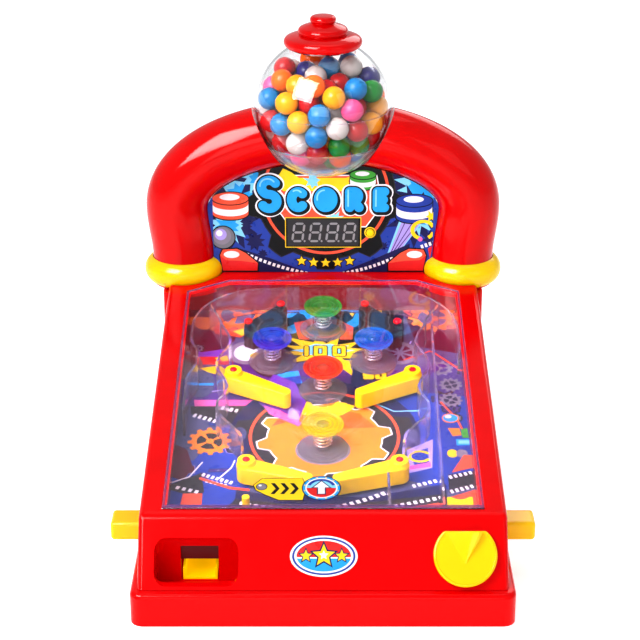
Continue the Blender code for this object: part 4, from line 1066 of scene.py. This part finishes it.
def bumper_cap(colour, place, body):
    """Clear cap with three raised rings, dark rings of painted shade in the grooves between them, and a clear
    centre button.
    """
    pitch = 0.0027
    cap = [(0, 0.0173), (0.0060, 0.0173), (0.0122, 0.0184), (0.0139, 0.0196), (0.0142, 0.0202),
           (0.0142, 0.0210), (0.0139, 0.0214), (0.0134, 0.0214), (0.0131, 0.0206)]
    for k in range(3):
        outer = 0.0127 - pitch * k
        cap += [(outer, 0.0203), (outer - 0.0004, 0.0211), (outer - 0.0010, 0.0211),
                (outer - 0.0014, 0.0203)]
    cap += [(0.0046, 0.0203), (0.0043, 0.0209), (0.0042, 0.0201), (0, 0.0200)]
    add("cap_" + colour, turned(cap, 96, place), CAPS[colour], body, ("bumper_cap_" + colour,), 24)
    # dark rings in the grooves: painted shade between the raised rings
    grooves = bmesh.new()
    for k in range(3):
        near = 0.0048 + pitch * k
        groove = [(near, 0.0204), (near + 0.0010, 0.0204), (near + 0.0010, 0.0208), (near, 0.0208)]
        turned(groove, 96, place, grooves)
    add("cap_groove_shade_rings_" + colour, grooves, GROOVE_SHADE[colour], body, (), 30)
    dome = [(0, 0.0198), (0.0041, 0.0198)] + arc(0.0021, 0.0203, 0.0020, -10, 78, 8) + [(0, 0.0224)]
    add("cap_button_" + colour, turned(dome, 48, place), JEWEL, body, (), 60)


def flipper(side, row):
    """Arm with a round raised boss and a red dot, and the shaft through the playfield."""
    x, s, angle = FLIPPERS[row]
    label = row + ("_left" if side < 0 else "_right")
    body, node = "flipper_body_" + label, "flipper_" + label
    place = on_play(side * x, s)
    reach = 0.0428
    turn = Matrix.Rotation(math.radians(angle), 4, "Z")
    plan = arc(0, 0, 0.0066, 84, 276, 36) + arc(reach, 0, 0.0042, -86, 86, 20)
    points = []
    for a, b in plan:
        p = turn @ Vector((a, b, 0))
        points.append((-side * p.x, p.y))
    arm = prism(points, 0.0024, 0.0155, place)
    add("flipper_arm_" + label, arm, YELLOW, body, (node,), 30, 0.0010, 4)
    boss = [(0, 0.0145), (0.0068, 0.0145), (0.0065, 0.0156), (0.0061, 0.0160), (0.0060, 0.0181)]
    boss += arc(0.0051, 0.0181, 0.0009, 0, 90, 5) + [(0.0031, 0.0190), (0.0028, 0.0186), (0, 0.0186)]
    add("flipper_boss_" + label, turned(boss, 64, place), YELLOW, body, (), 50)
    dot = [(0, 0.0184), (0.0026, 0.0184)] + arc(0.0012, 0.0186, 0.0013, 0, 84, 6) + [(0, 0.0200)]
    add("flipper_dot_" + label, turned(dot, 40, place), RED_TRIM, body, (), 60)
    shaft = turned([(0, -0.0078), (0.0025, -0.0078), (0.0025, 0.0060), (0, 0.0060)], 32, place)
    add("flipper_shaft_" + label, shaft, YELLOW, body, (), 50)
    refined("flipper_crank_" + label, BLACK, 0.0002)


def target_block(side):
    """Black wedge between posts with red screw caps, moulded over with small pads."""
    label = "left" if side < 0 else "right"
    refined("target_block_" + label, BLACK, 0.0005, 3)
    for k, (x, s) in enumerate(((0.0315, 0.2575), (0.0550, 0.2335))):
        place = on_play(side * x, s)
        cap = [(0, 0.0203), (0.0027, 0.0203), (0.0031, 0.0208), (0.0031, 0.0214)]
        cap += arc(0.0017, 0.0216, 0.0014, 0, 80, 6) + [(0, 0.0231)]
        add(f"post_cap_{label}_{k}", turned(cap, 40, place), RED_TRIM, "cabinet", (), 50)
    first, last = Vector((side * 0.0300, 0.2455)), Vector((side * 0.0535, 0.2268))
    along = (last - first).normalized()
    out = Vector((-along.y, along.x)) * side
    for k in range(3):
        centre = first.lerp(last, 0.22 + 0.28 * k) - out * 0.0004
        corners = [centre - along * 0.0026 + out * 0.0004, centre + along * 0.0026 + out * 0.0004,
                   centre + along * 0.0026 - out * 0.0008, centre - along * 0.0026 - out * 0.0008]
        pad = prism([tuple(c) for c in corners], 0.0060, 0.0125, PLAY)
        add(f"target_pad_{label}_{k}", pad, GREY_RUBBER, "cabinet", (), 30, 0.0003, 2)


def playfield_fittings():
    refined("playfield_tray", WALL_RED, 0.0004)
    playfield_print()
    refined("clear_cover", CLEAR, 0.0003)
    cover_edge()
    for side in ("left", "right"):
        refined("ball_rail_" + side, CLEAR_RAIL, 0.0003, 2, 50)
    refined("lane_divider", CLEAR_RAIL, 0.0003)
    front_rib()
    ball_stop()
    for colour in BUMPERS:
        bumper(colour)
    for side in (-1, 1):
        target_block(side)
        for row in FLIPPERS:
            flipper(side, row)
    ball()


def front_rib():
    """Clear rib along the playfield, with a gate at its front end that the ball rolls through."""
    side = [(0.0130, 0.0135), (0.0290, 0.0135), (0.0290, 0.0003), (0.0540, 0.0003), (0.0540, 0.0200),
            (0.0130, 0.0200)]
    sideways = Matrix(((0, 0, 1, 0), (1, 0, 0, 0), (0, 1, 0, 0), (0, 0, 0, 1)))
    rib = prism(side, 0.0421, 0.0439, PLAY @ sideways)
    add("front_rib", rib, CLEAR_RAIL, "cabinet", (), 30, 0.0004, 2)


def ball_stop():
    post = [(0, 0.0005), (0.0026, 0.0005), (0.0026, 0.0096)] + arc(0.0016, 0.0098, 0.0010, 0, 84, 5)
    post.append((0, 0.0109))
    stop = turned(post, 40, on_play(-0.0505, 0.0400))
    add("ball_stop", stop, YELLOW, "cabinet", (), 50)


def ball():
    """Steel ball, a little under the CAD ball's size so that it clears the print."""
    low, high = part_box("steel_ball")
    bm = bmesh.new()
    bmesh.ops.create_icosphere(bm, subdivisions=5, radius=(high.x - low.x) * BALL_SHARE,
                               matrix=Matrix.Translation((low + high) / 2))
    add("ball", bm, CHROME, "ball", ("steel_ball",), 80)


def cover_edge():
    """Raised dark lilac lip round the clear cover, widest along the front."""
    outer = [(-101.9, 5.8), (101.9, 5.8), (101.9, 263.8), (70.8, 279.7), (-70.8, 279.7), (-101.9, 263.8)]
    inner = grown(outer, -1.5)
    inner[0], inner[1] = (inner[0][0], 8.4), (inner[1][0], 8.4)
    bm = bmesh.new()
    for k in range(6):
        m = (k + 1) % 6
        corners = [outer[k], outer[m], inner[m], inner[k]]
        prism([(a * MM, b * MM) for a, b in corners], COVER_TOP + 0.00002, COVER_TOP + 0.0006, PLAY, bm)
    add("cover_lip", bm, CLEAR_EDGE, "cabinet", (), 30)


def cover_sticker():
    """Round sticker and a tag on the clear cover, with arrows and no words."""
    matrix = PLAY @ Matrix.Translation((-0.001, 0.026, COVER_TOP + 0.00005))
    sheet = Print([(-46, -14), (14, -14), (14, 14), (-46, 14)], matrix, 0.0002)
    draw = sheet.shape
    tag = [(-38.3, 9.6), (-12.3, 10.3), (-10, 0), (-12, -12.2), (-27.1, -12.2), (-36, -6.7), (-42, -2),
           (-43.5, 2.9)]
    sheet.outlined("yellow", tag[::-1], "black", 0.5)
    draw("black", ellipse(-38.4, 1.4, 3.7))
    draw("grey", ellipse(-38.4, 1.4, 3.2))
    draw("white", ellipse(-39.4, 2.6, 1.0))
    for k in range(3):
        x = -30.0 + 6.2 * k
        chevron = [(x - 2.6, 5), (x, 5), (x + 3.2, -0.6), (x, -6.2), (x - 2.6, -6.2), (x + 0.6, -0.6)]
        draw("black", chevron[::-1], 0.2)
    draw("navy", ellipse(0, 0, 12.6, 12.6, 72))
    draw("cyan", ellipse(0, 0, 11.9, 11.9, 72))
    draw("white", ellipse(0, 0, 10.4, 10.4, 72))
    draw("red", arc(0, 0, 9.4, 180, 360, 36))
    draw("sky", arc(0, 0, 9.4, 0, 180, 36))
    draw("blue", ring(0, 0, 9.4, 7.4, 20, 160, 24))
    arrow = [(-2.2, -6), (2.2, -6), (2.2, 0.6), (5.2, 0.6), (0, 7.0), (-5.2, 0.6), (-2.2, 0.6)]
    sheet.outlined("white", arrow, "navy", 0.7)
    for k in range(12):
        angle = math.radians(30 * k + 15)
        draw("yellow", ellipse(11.1 * math.cos(angle), 11.1 * math.sin(angle), 0.55, 0.55, 12), 0.1)
    sheet.piece("cover_sticker", "cabinet", "printed_card")


# ---------------------------------------------------------------- cabinet pieces
PANEL_TILT = math.atan2(0.0614 - 0.0225, 0.0336 - 0.0059)


def panel_place(x, y, z):
    """Plane parallel to the sloping front panel, through a point."""
    return Matrix.Translation((x, y, z)) @ Matrix.Rotation(PANEL_TILT, 4, "X")


def badge():
    """White oval plate with generic stars on a red and cyan field."""
    low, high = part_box("front_badge")
    flat = panel_place(*((low + high) / 2))
    inverse = flat.inverted()
    corners = [inverse @ v.co for v in frame["nodes"]["front_badge"].data.vertices]
    width = (high.x - low.x) / 2
    height = max(corner.y for corner in corners)
    front = max(corner.z for corner in corners)
    back = min(corner.z for corner in corners)
    plate = prism(ellipse(0, 0, width, height, 96), back, front, flat)
    add("badge_plate", plate, WHITE_GLOSS, "cabinet", ("front_badge",), 30, 0.0005, 3)
    a, b = width * 1000, height * 1000
    sheet = Print([(-a, -b), (a, -b), (a, b), (-a, b)], flat @ Matrix.Translation((0, 0, front)), 0.0002)
    draw = sheet.shape
    draw("blue", ellipse(0, 0, a * 0.93, b * 0.91, 80))
    draw("white", ellipse(0, 0, a * 0.87, b * 0.83, 80))
    field, horizon = ellipse(0, 0, a * 0.80, b * 0.74, 80), -b * 0.08
    draw("red", field)
    draw("cyan", clipped(field, [(-a, -b), (a, -b), (a, horizon), (-a, horizon)]))
    draw("white", stroke([(-a * 0.80, horizon), (a * 0.80, horizon)], 0.45), clip=False)
    for x in (-11.2, 11.2):
        sheet.outlined("yellow", star(x, 0.2, 4.0, 0.45), "navy", 0.6)
    sheet.outlined("yellow", star(0, 0.4, 7.4, 0.45), "navy", 0.9)
    draw("white", star(0, 0.6, 3.2, 0.45))
    sheet.piece("badge_print", "cabinet", "badge_white")


def plunger_axis():
    return PLAY @ Matrix.Translation((0.089, 0, 0.0081)) @ Matrix.Rotation(-math.pi / 2, 4, "X")


def knob():
    """Disc with a flat chord, a thin raised rim and a wedge grip."""
    place = panel_place(0.089, -0.16636, 0.04038) @ Matrix.Translation((0, 0, 0.0012))
    disc = arc(0, 0, 0.0200, -228.5, 48.5, 96)
    plate = prism(disc, 0.0, 0.0042, place)
    add("knob_disc", plate, YELLOW, "launcher", ("launcher_knob",), 30, 0.0010, 4)
    outer = arc(0, 0, 0.0192, -226, 46, 96)
    inner = arc(0, 0, 0.0183, 46, -226, 96)
    rim = prism(outer + inner, 0.0036, 0.0047, place)
    add("knob_rim", rim, YELLOW, "launcher", (), 40, 0.00025, 2)
    knob_grip(place)
    plunger()


def knob_grip(place):
    """Wedge on the knob that narrows and sinks towards the disc's middle."""
    grip = bmesh.new()
    rows = []
    for y, foot, crest, edge, wall, top in ((0.0140, -0.0128, 0.0035, 0.0088, 0.0106, 0.0100),
                                            (0.0090, -0.0100, 0.0025, 0.0070, 0.0084, 0.0092),
                                            (0.0030, -0.0065, 0.0014, 0.0042, 0.0053, 0.0074),
                                            (-0.0020, -0.0035, 0.0006, 0.0018, 0.0026, 0.0056),
                                            (-0.0055, -0.0012, 0.0002, 0.0004, 0.0008, 0.0043)):
        section = [(foot, 0.0039), (foot * 0.5 + crest * 0.5, 0.0042 + (top - 0.0042) * 0.30),
                   (crest, top - 0.0002), (edge, top), (wall, top - 0.0012), (wall + 0.0002, 0.0039)]
        rows.append([grip.verts.new(place @ Vector((a, y, b))) for a, b in section])
    for first, second in zip(rows, rows[1:]):
        for k in range(6):
            m = (k + 1) % 6
            grip.faces.new((first[k], first[m], second[m], second[k]))
    grip.faces.new(rows[0])
    grip.faces.new(rows[-1])
    add("knob_grip", grip, YELLOW, "launcher", (), 30, 0.0005, 3)


def plunger():
    """Rod with its stop collar, and the spring round it."""
    axis = plunger_axis()
    rod = [(0, -0.0215), (0.0032, -0.0215), (0.0032, 0.0034), (0.0056, 0.0034), (0.0056, 0.0050),
           (0.0032, 0.0050), (0.0032, 0.0240), (0, 0.0240)]
    add("plunger_rod", turned(rod, 40, axis), YELLOW, "launcher", (), 40)
    spring = coil(0.0044, 0.0006, 4.5, 0.0168, axis @ Matrix.Translation((0, 0, -0.0138)))
    add("plunger_spring", spring, CHROME, "launcher", ("launch_spring",), 60)
    refined("striker_shoe", YELLOW, 0.0005, 3)


def cabinet():
    housing = refined("upper_housing", RED, 0.0007, 3)
    bore = [(0, -0.030), (0.0058, -0.030), (0.0058, -0.0125), (0, -0.0125)]
    cut(housing, turned(bore, 48, plunger_axis()))
    refined("base_plinth", RED, 0.0007, 3)
    refined("battery_door", RED_TRIM, 0.0004)
    refined("battery_pack", WRAP, 0.0004)
    refined("power_switch", BLACK, 0.0003)
    refined("gumball_chute", YELLOW_CHUTE_PAINTED_GLOW, 0.0004)
    refined("dispenser_wheel", YELLOW, 0.0005)
    # Dark plate just behind the pocket opening: painted shade over the upper part of the opening, above the
    # yellow chute
    flap = boxed((-0.0905, -0.1482, 0.0278), (-0.0665, -0.1474, 0.0470))
    add("pocket_painted_shade_plate", flap, SHADE_MAROON, "cabinet", (), 35, 0.0002, 2)
    for side, label in SIDES:
        flipper_button(side, label)


def flipper_button(side, label):
    """The CAD bar with its outer end cut off, and a rounded cap in that end's place."""
    bar = refined("flipper_button_" + label, YELLOW, 0.0004)
    ends = sorted((side * 0.1165, side * 0.1500))
    cut(bar, boxed((ends[0], -0.14, 0.02), (ends[1], -0.08, 0.05)))
    ends = sorted((side * 0.1160, side * 0.1385))
    cap = boxed((ends[0], -0.1210, 0.0255), (ends[1], -0.1010, 0.0385))
    add("button_cap_" + label, cap, YELLOW, "button_" + label, (), 35, 0.0026, 5)


# ---------------------------------------------------------------- arch and head
def cup_space():
    """Sphere that clears the globe's cup out of the arch."""
    sphere = [(0, -CUP_ROOM)] + arc(0, 0, CUP_ROOM, -86, 86, 48) + [(0, CUP_ROOM)]
    return turned(sphere, 120, Matrix.Translation((0, ARCH_Y, GLOBE_Z)))


def arch_half(side, label, face, where):
    """Front or rear half of one arm, as a hollow half pipe that stops at a fine seam."""
    split = 0.00010
    half = [(a, face * max(b, split)) for a, b in arc(0, 0, ARCH_TUBE, 0, 180, 40)]
    hollow = [(a, face * max(b, split)) for a, b in arc(0, 0, ARCH_TUBE - ARCH_WALL, 180, 0, 32)]
    shell = swept(arch_frames(side, ARCH_REACH, ARCH_STEPS), half + hollow)
    node = f"arch_{where}_{label}"
    piece = add(f"arch_{label}_{where}", shell, ARCH_RED, "cabinet", (node,), 40)
    cut(piece, cup_space())


def arch_end(side, label):
    """Plug that closes an arm at the globe; the left one has the way out for gumballs."""
    disc = arc(0, 0, ARCH_TUBE - ARCH_WALL - 0.0002, 0, 356, 71)
    shape = swept(arch_frames(side, ARCH_REACH, ARCH_STEPS)[PLUG_START:], disc)
    plug = add("arch_end_" + label, shape, ARCH_RED, "cabinet", (), 40)
    cut(plug, cup_space())
    if side < 0:
        cut(plug, outlet(0.0112))


def collar(side, label):
    bore = ARCH_TUBE + 0.0003
    edge = math.degrees(math.acos((bore - COLLAR_RING) / COLLAR_BEAD))
    place = Matrix.Translation((side * ARCH_FOOT[0], ARCH_Y, COLLAR_Z))
    bead = turned(arc(COLLAR_RING, 0, COLLAR_BEAD, -edge, edge, 28), 128, place)
    add("collar_ring_" + label, bead, YELLOW, "cabinet", ("collar_" + label,), 60)


def arch():
    for side, label in SIDES:
        for face, where in ((-1, "front"), (1, "rear")):
            arch_half(side, label, face, where)
        arch_end(side, label)
        collar(side, label)


def outlet(radius):
    """Round drill along the left arm's slope, through the bowl, the cup and the arm's end plug."""
    aim = Vector((-0.892, 0, -0.451)).to_track_quat("Z", "Y").to_matrix().to_4x4()
    place = Matrix.Translation((0, ARCH_Y, GLOBE_Z)) @ aim
    return turned([(0, 0.030), (radius, 0.030), (radius, 0.070), (0, 0.070)], 48, place)


def globe():
    """Clear bowl with its moulding seam, held in a clear cup under a stepped red lid."""
    place = Matrix.Translation((0, ARCH_Y, GLOBE_Z))
    inner = GLOBE_R - GLOBE_WALL
    high = math.degrees(math.acos(GLOBE_MOUTH / GLOBE_R))
    high_in = math.degrees(math.acos(GLOBE_MOUTH / inner))
    outside, inside = arc(0, 0, GLOBE_R, -88, high, 60), arc(0, 0, inner, high_in, -88, 60)
    shell = turned([(0, -GLOBE_R)] + outside + inside + [(0, -inner)], 128, place)
    bowl = add("globe_bowl", shell, CLEAR_BOWL, "cabinet", ("globe",), 60)
    cut(bowl, outlet(0.0100))
    seam = [(GLOBE_R - 0.0002, -0.00035), (GLOBE_R + 0.00025, -0.0002), (GLOBE_R + 0.00025, 0.0002),
            (GLOBE_R - 0.0002, 0.00035)]
    add("globe_seam", turned(seam, 160, place), CLEAR_RAIL, "cabinet", (), 60)
    near, far = GLOBE_R + 0.0009, GLOBE_R + 0.0021
    cup = [(0, -far)] + arc(0, 0, far, -86, -30, 30) + arc(0, 0, near, -30, -86, 30) + [(0, -near)]
    cup = turned(cup, 128, place)
    saddle = add("globe_cup", cup, CLEAR_CUP, "cabinet", ("globe_saddle",), 60)
    cut(saddle, outlet(0.0110))
    lid(place)


def lid(place):
    """Three domed tiers over a short skirt that stands on the bowl."""
    tiers = [(0, 0.0513), (0.0205, 0.0513), (0.0210, 0.0468), (0.0262, 0.0461)]
    tiers += arc(0.0250, 0.0488, 0.0040, -66, 74, 20) + [(0.0226, 0.0540), (0.0192, 0.0544)]
    tiers += arc(0.0150, 0.0567, 0.0034, -38, 72, 16) + [(0.0134, 0.0611), (0.0104, 0.0619)]
    tiers += arc(0.0068, 0.0652, 0.0028, -50, 80, 14) + [(0.0034, 0.0681), (0, 0.0681)]
    add("lid", turned(tiers, 128, place), ARCH_RED, "cap", ("globe_cap",), 40)


def settled_centres(count, reach, radius):
    """Centres of balls that have fallen into a round bowl, found by pushing overlapping pairs apart."""
    rng = np.random.default_rng(23)
    points = rng.normal(size=(count, 3))
    spread = reach * rng.uniform(0.1, 1.0, (count, 1)) ** (1 / 3)
    points *= spread / np.linalg.norm(points, axis=1, keepdims=True)
    steps, fall, push = 500, 0.00016, 0.42
    for step in range(steps):
        points[:, 2] -= fall * (1 - step / steps)
        for _ in range(2):
            apart = points[:, None, :] - points[None, :, :]
            distance = np.linalg.norm(apart, axis=2) + np.eye(count)
            overlap = np.clip(2 * radius - distance, 0, None) * (1 - np.eye(count))
            points += push * (apart / distance[..., None] * overlap[..., None]).sum(axis=1)
            out = np.linalg.norm(points, axis=1)
            far = out > reach
            points[far] *= (reach / out[far])[:, None]
    return points


def gumballs():
    radius, count, clearance = 0.0083, 102, 0.0004
    shares = (4, 4, 5, 4, 4, 3, 1, 1.5)
    centres = settled_centres(count, GLOBE_R - GLOBE_WALL - clearance - radius, radius)
    rng = random.Random(4)
    bm = bmesh.new()
    order = list(GUM)
    for centre in centres:
        start = len(bm.faces)
        spin = Matrix.Rotation(rng.uniform(0, 6), 4, (rng.random(), rng.random(), 1))
        place = Matrix.Translation((centre[0], ARCH_Y + centre[1], GLOBE_Z + centre[2])) @ spin
        bmesh.ops.create_icosphere(bm, subdivisions=4, radius=radius, matrix=place)
        bm.faces.ensure_lookup_table()
        pick = rng.choices(range(len(order)), shares)[0]
        for face in bm.faces[start:]:
            face.material_index = pick
    add("gumball_load", bm, [GUM[name] for name in order], "cabinet", ("gumballs",), 80)


def head():
    refined("backglass_panel", RED_TRIM, 0.0003)
    panel_print()
    refined("score_display", BLACK, 0.0002)
    display_digits()
    cover = refined("head_rear_cover", RED, 0.0006, 3)
    cut(cover, speaker_holes(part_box("head_rear_cover")[1].y))
    refined("circuit_board", GREEN_BOARD, 0.0001)
    refined("speaker", BLACK, 0.0003)
    reset_cap()
    rear_screws()


def speaker_holes(back):
    """Hexagon of drilled holes in the rear cover."""
    holes = bmesh.new()
    for row in range(-2, 3):
        count = 5 - abs(row)
        for column in range(count):
            x, z = (column - (count - 1) / 2) * 0.0056, 0.1680 + row * 0.0049
            drill = Matrix.Translation((x, back, z)) @ Matrix.Rotation(math.pi / 2, 4, "X")
            turned([(0, -0.004), (0.0014, -0.004), (0.0014, 0.006), (0, 0.006)], 16, drill, holes)
    return holes


def reset_cap():
    low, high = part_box("reset_button")
    centre = (low + high) / 2
    place = Matrix.Translation((centre.x, low.y, centre.z)) @ Matrix.Rotation(-math.pi / 2, 4, "X")
    reach = high.y - low.y
    button = [(0, 0.0)] + arc(0.0018, 0.0012, 0.0012, -90, 0, 8) + [(0.0030, reach), (0, reach)]
    add("reset_cap", turned(button, 48, place), YELLOW, "reset", ("reset_button",), 50)


def rear_screws():
    profile = [(0, -0.0010), (0.0028, -0.0010), (0.0028, 0.0006), (0.0022, 0.0012), (0.0008, 0.0012),
               (0.0008, 0.0004), (0, 0.0004)]
    for k, x in enumerate((-0.0690, 0.0690)):
        screw = Matrix.Translation((x, 0.1676, 0.1180)) @ Matrix.Rotation(-math.pi / 2, 4, "X")
        add(f"rear_screw_{k}", turned(profile, 32, screw), CHROME, "cabinet", (), 40)


# ---------------------------------------------------------------- stage, light and camera
SKY_DIFFUSE, SKY_GLOSS = 0.50, 0.65
CAMERA_PLACE = (0, -1.174, 0.6171)
CAMERA_DIP = math.radians(22.472)
CAMERA_LENS, CAMERA_SHIFT = 103.33, -3 / 640
FLOOR_GLOW = 0.55


def stage():
    bm = bmesh.new()
    bmesh.ops.create_grid(bm, x_segments=2, y_segments=2, size=6)
    mesh = bpy.data.meshes.new("floor")
    bm.to_mesh(mesh)
    bm.free()
    mat, tree, shader = new_material("floor_paper")
    pale = blended(tree, noise(tree, 6, 3), (0.86, 0.86, 0.87), (0.84, 0.84, 0.85))
    tree.links.new(pale, shader.inputs["Base Color"])
    tree.links.new(ranged(tree, noise(tree, 40, 4), 0.55, 0.65), shader.inputs["Roughness"])
    set_inputs(shader, {"Emission Color": (1, 1, 1, 1), "Emission Strength": FLOOR_GLOW})
    mesh.materials.append(mat)
    floor = bpy.data.objects.new("floor", mesh)
    bpy.context.scene.collection.objects.link(floor)


def lamp(name, place, target, size, power):
    light = bpy.data.lights.new(name, "AREA")
    light.shape = "RECTANGLE"
    light.size, light.size_y = size
    light.energy = power
    obj = bpy.data.objects.new(name, light)
    obj.location = place
    obj.rotation_euler = (Vector(target) - Vector(place)).to_track_quat("-Z", "Y").to_euler()
    bpy.context.scene.collection.objects.link(obj)
    return obj


def sky():
    """White surroundings, dimmer for diffuse and glossy light than for the eye."""
    world = bpy.data.worlds.new("studio")
    world.use_nodes = True
    tree = world.node_tree
    white = tree.nodes["Background"]
    set_inputs(white, {"Color": (0.97, 0.98, 1.0, 1)})
    path = tree.nodes.new("ShaderNodeLightPath")
    both = tree.nodes.new("ShaderNodeMath")
    both.operation = "MULTIPLY"
    for k, (ray, share) in enumerate((("Is Diffuse Ray", SKY_DIFFUSE), ("Is Glossy Ray", SKY_GLOSS))):
        dim = tree.nodes.new("ShaderNodeMapRange")
        set_inputs(dim, {"To Min": 1.0, "To Max": share})
        tree.links.new(path.outputs[ray], dim.inputs["Value"])
        tree.links.new(dim.outputs["Result"], both.inputs[k])
    tree.links.new(both.outputs["Value"], white.inputs["Strength"])
    bpy.context.scene.world = world


def lamps():
    lamp("key", (-0.66, -0.68, 1.08), (0, 0.05, 0.15), (0.62, 0.62), 12)
    softbox = lamp("softbox", (-0.69, -0.72, 1.11), (0, 0.15, 0.26), (0.90, 0.90), 62)
    softbox.visible_diffuse = False
    softbox.visible_transmission = False
    lamp("fill", (0.95, -0.95, 0.80), (0, 0, 0.10), (0.7, 0.7), 1.6)
    lamp("front", (-0.15, -1.60, 0.42), (0, 0, 0.06), (0.9, 0.5), 3.8)
    lamp("top", (0.10, 0.35, 1.60), (0, 0, 0.08), (1.1, 0.9), 4.2)
    lamp("rear", (0.6, 1.3, 0.9), (0, 0.1, 0.15), (0.9, 0.6), 4.5)


def camera():
    scene = bpy.context.scene
    scene.view_settings.view_transform = "Standard"
    scene.view_settings.gamma = 0.86
    lens = bpy.data.cameras.new("camera")
    lens.sensor_width = 36
    lens.lens = CAMERA_LENS
    lens.shift_x = CAMERA_SHIFT
    obj = bpy.data.objects.new("camera", lens)
    obj.location = CAMERA_PLACE
    obj.rotation_euler = (math.radians(90) - CAMERA_DIP, 0, 0)
    scene.collection.objects.link(obj)
    scene.camera = obj


cabinet()
knob()
badge()
playfield_fittings()
cover_sticker()
arch()
globe()
gumballs()
head()
stage()
sky()
lamps()
camera()
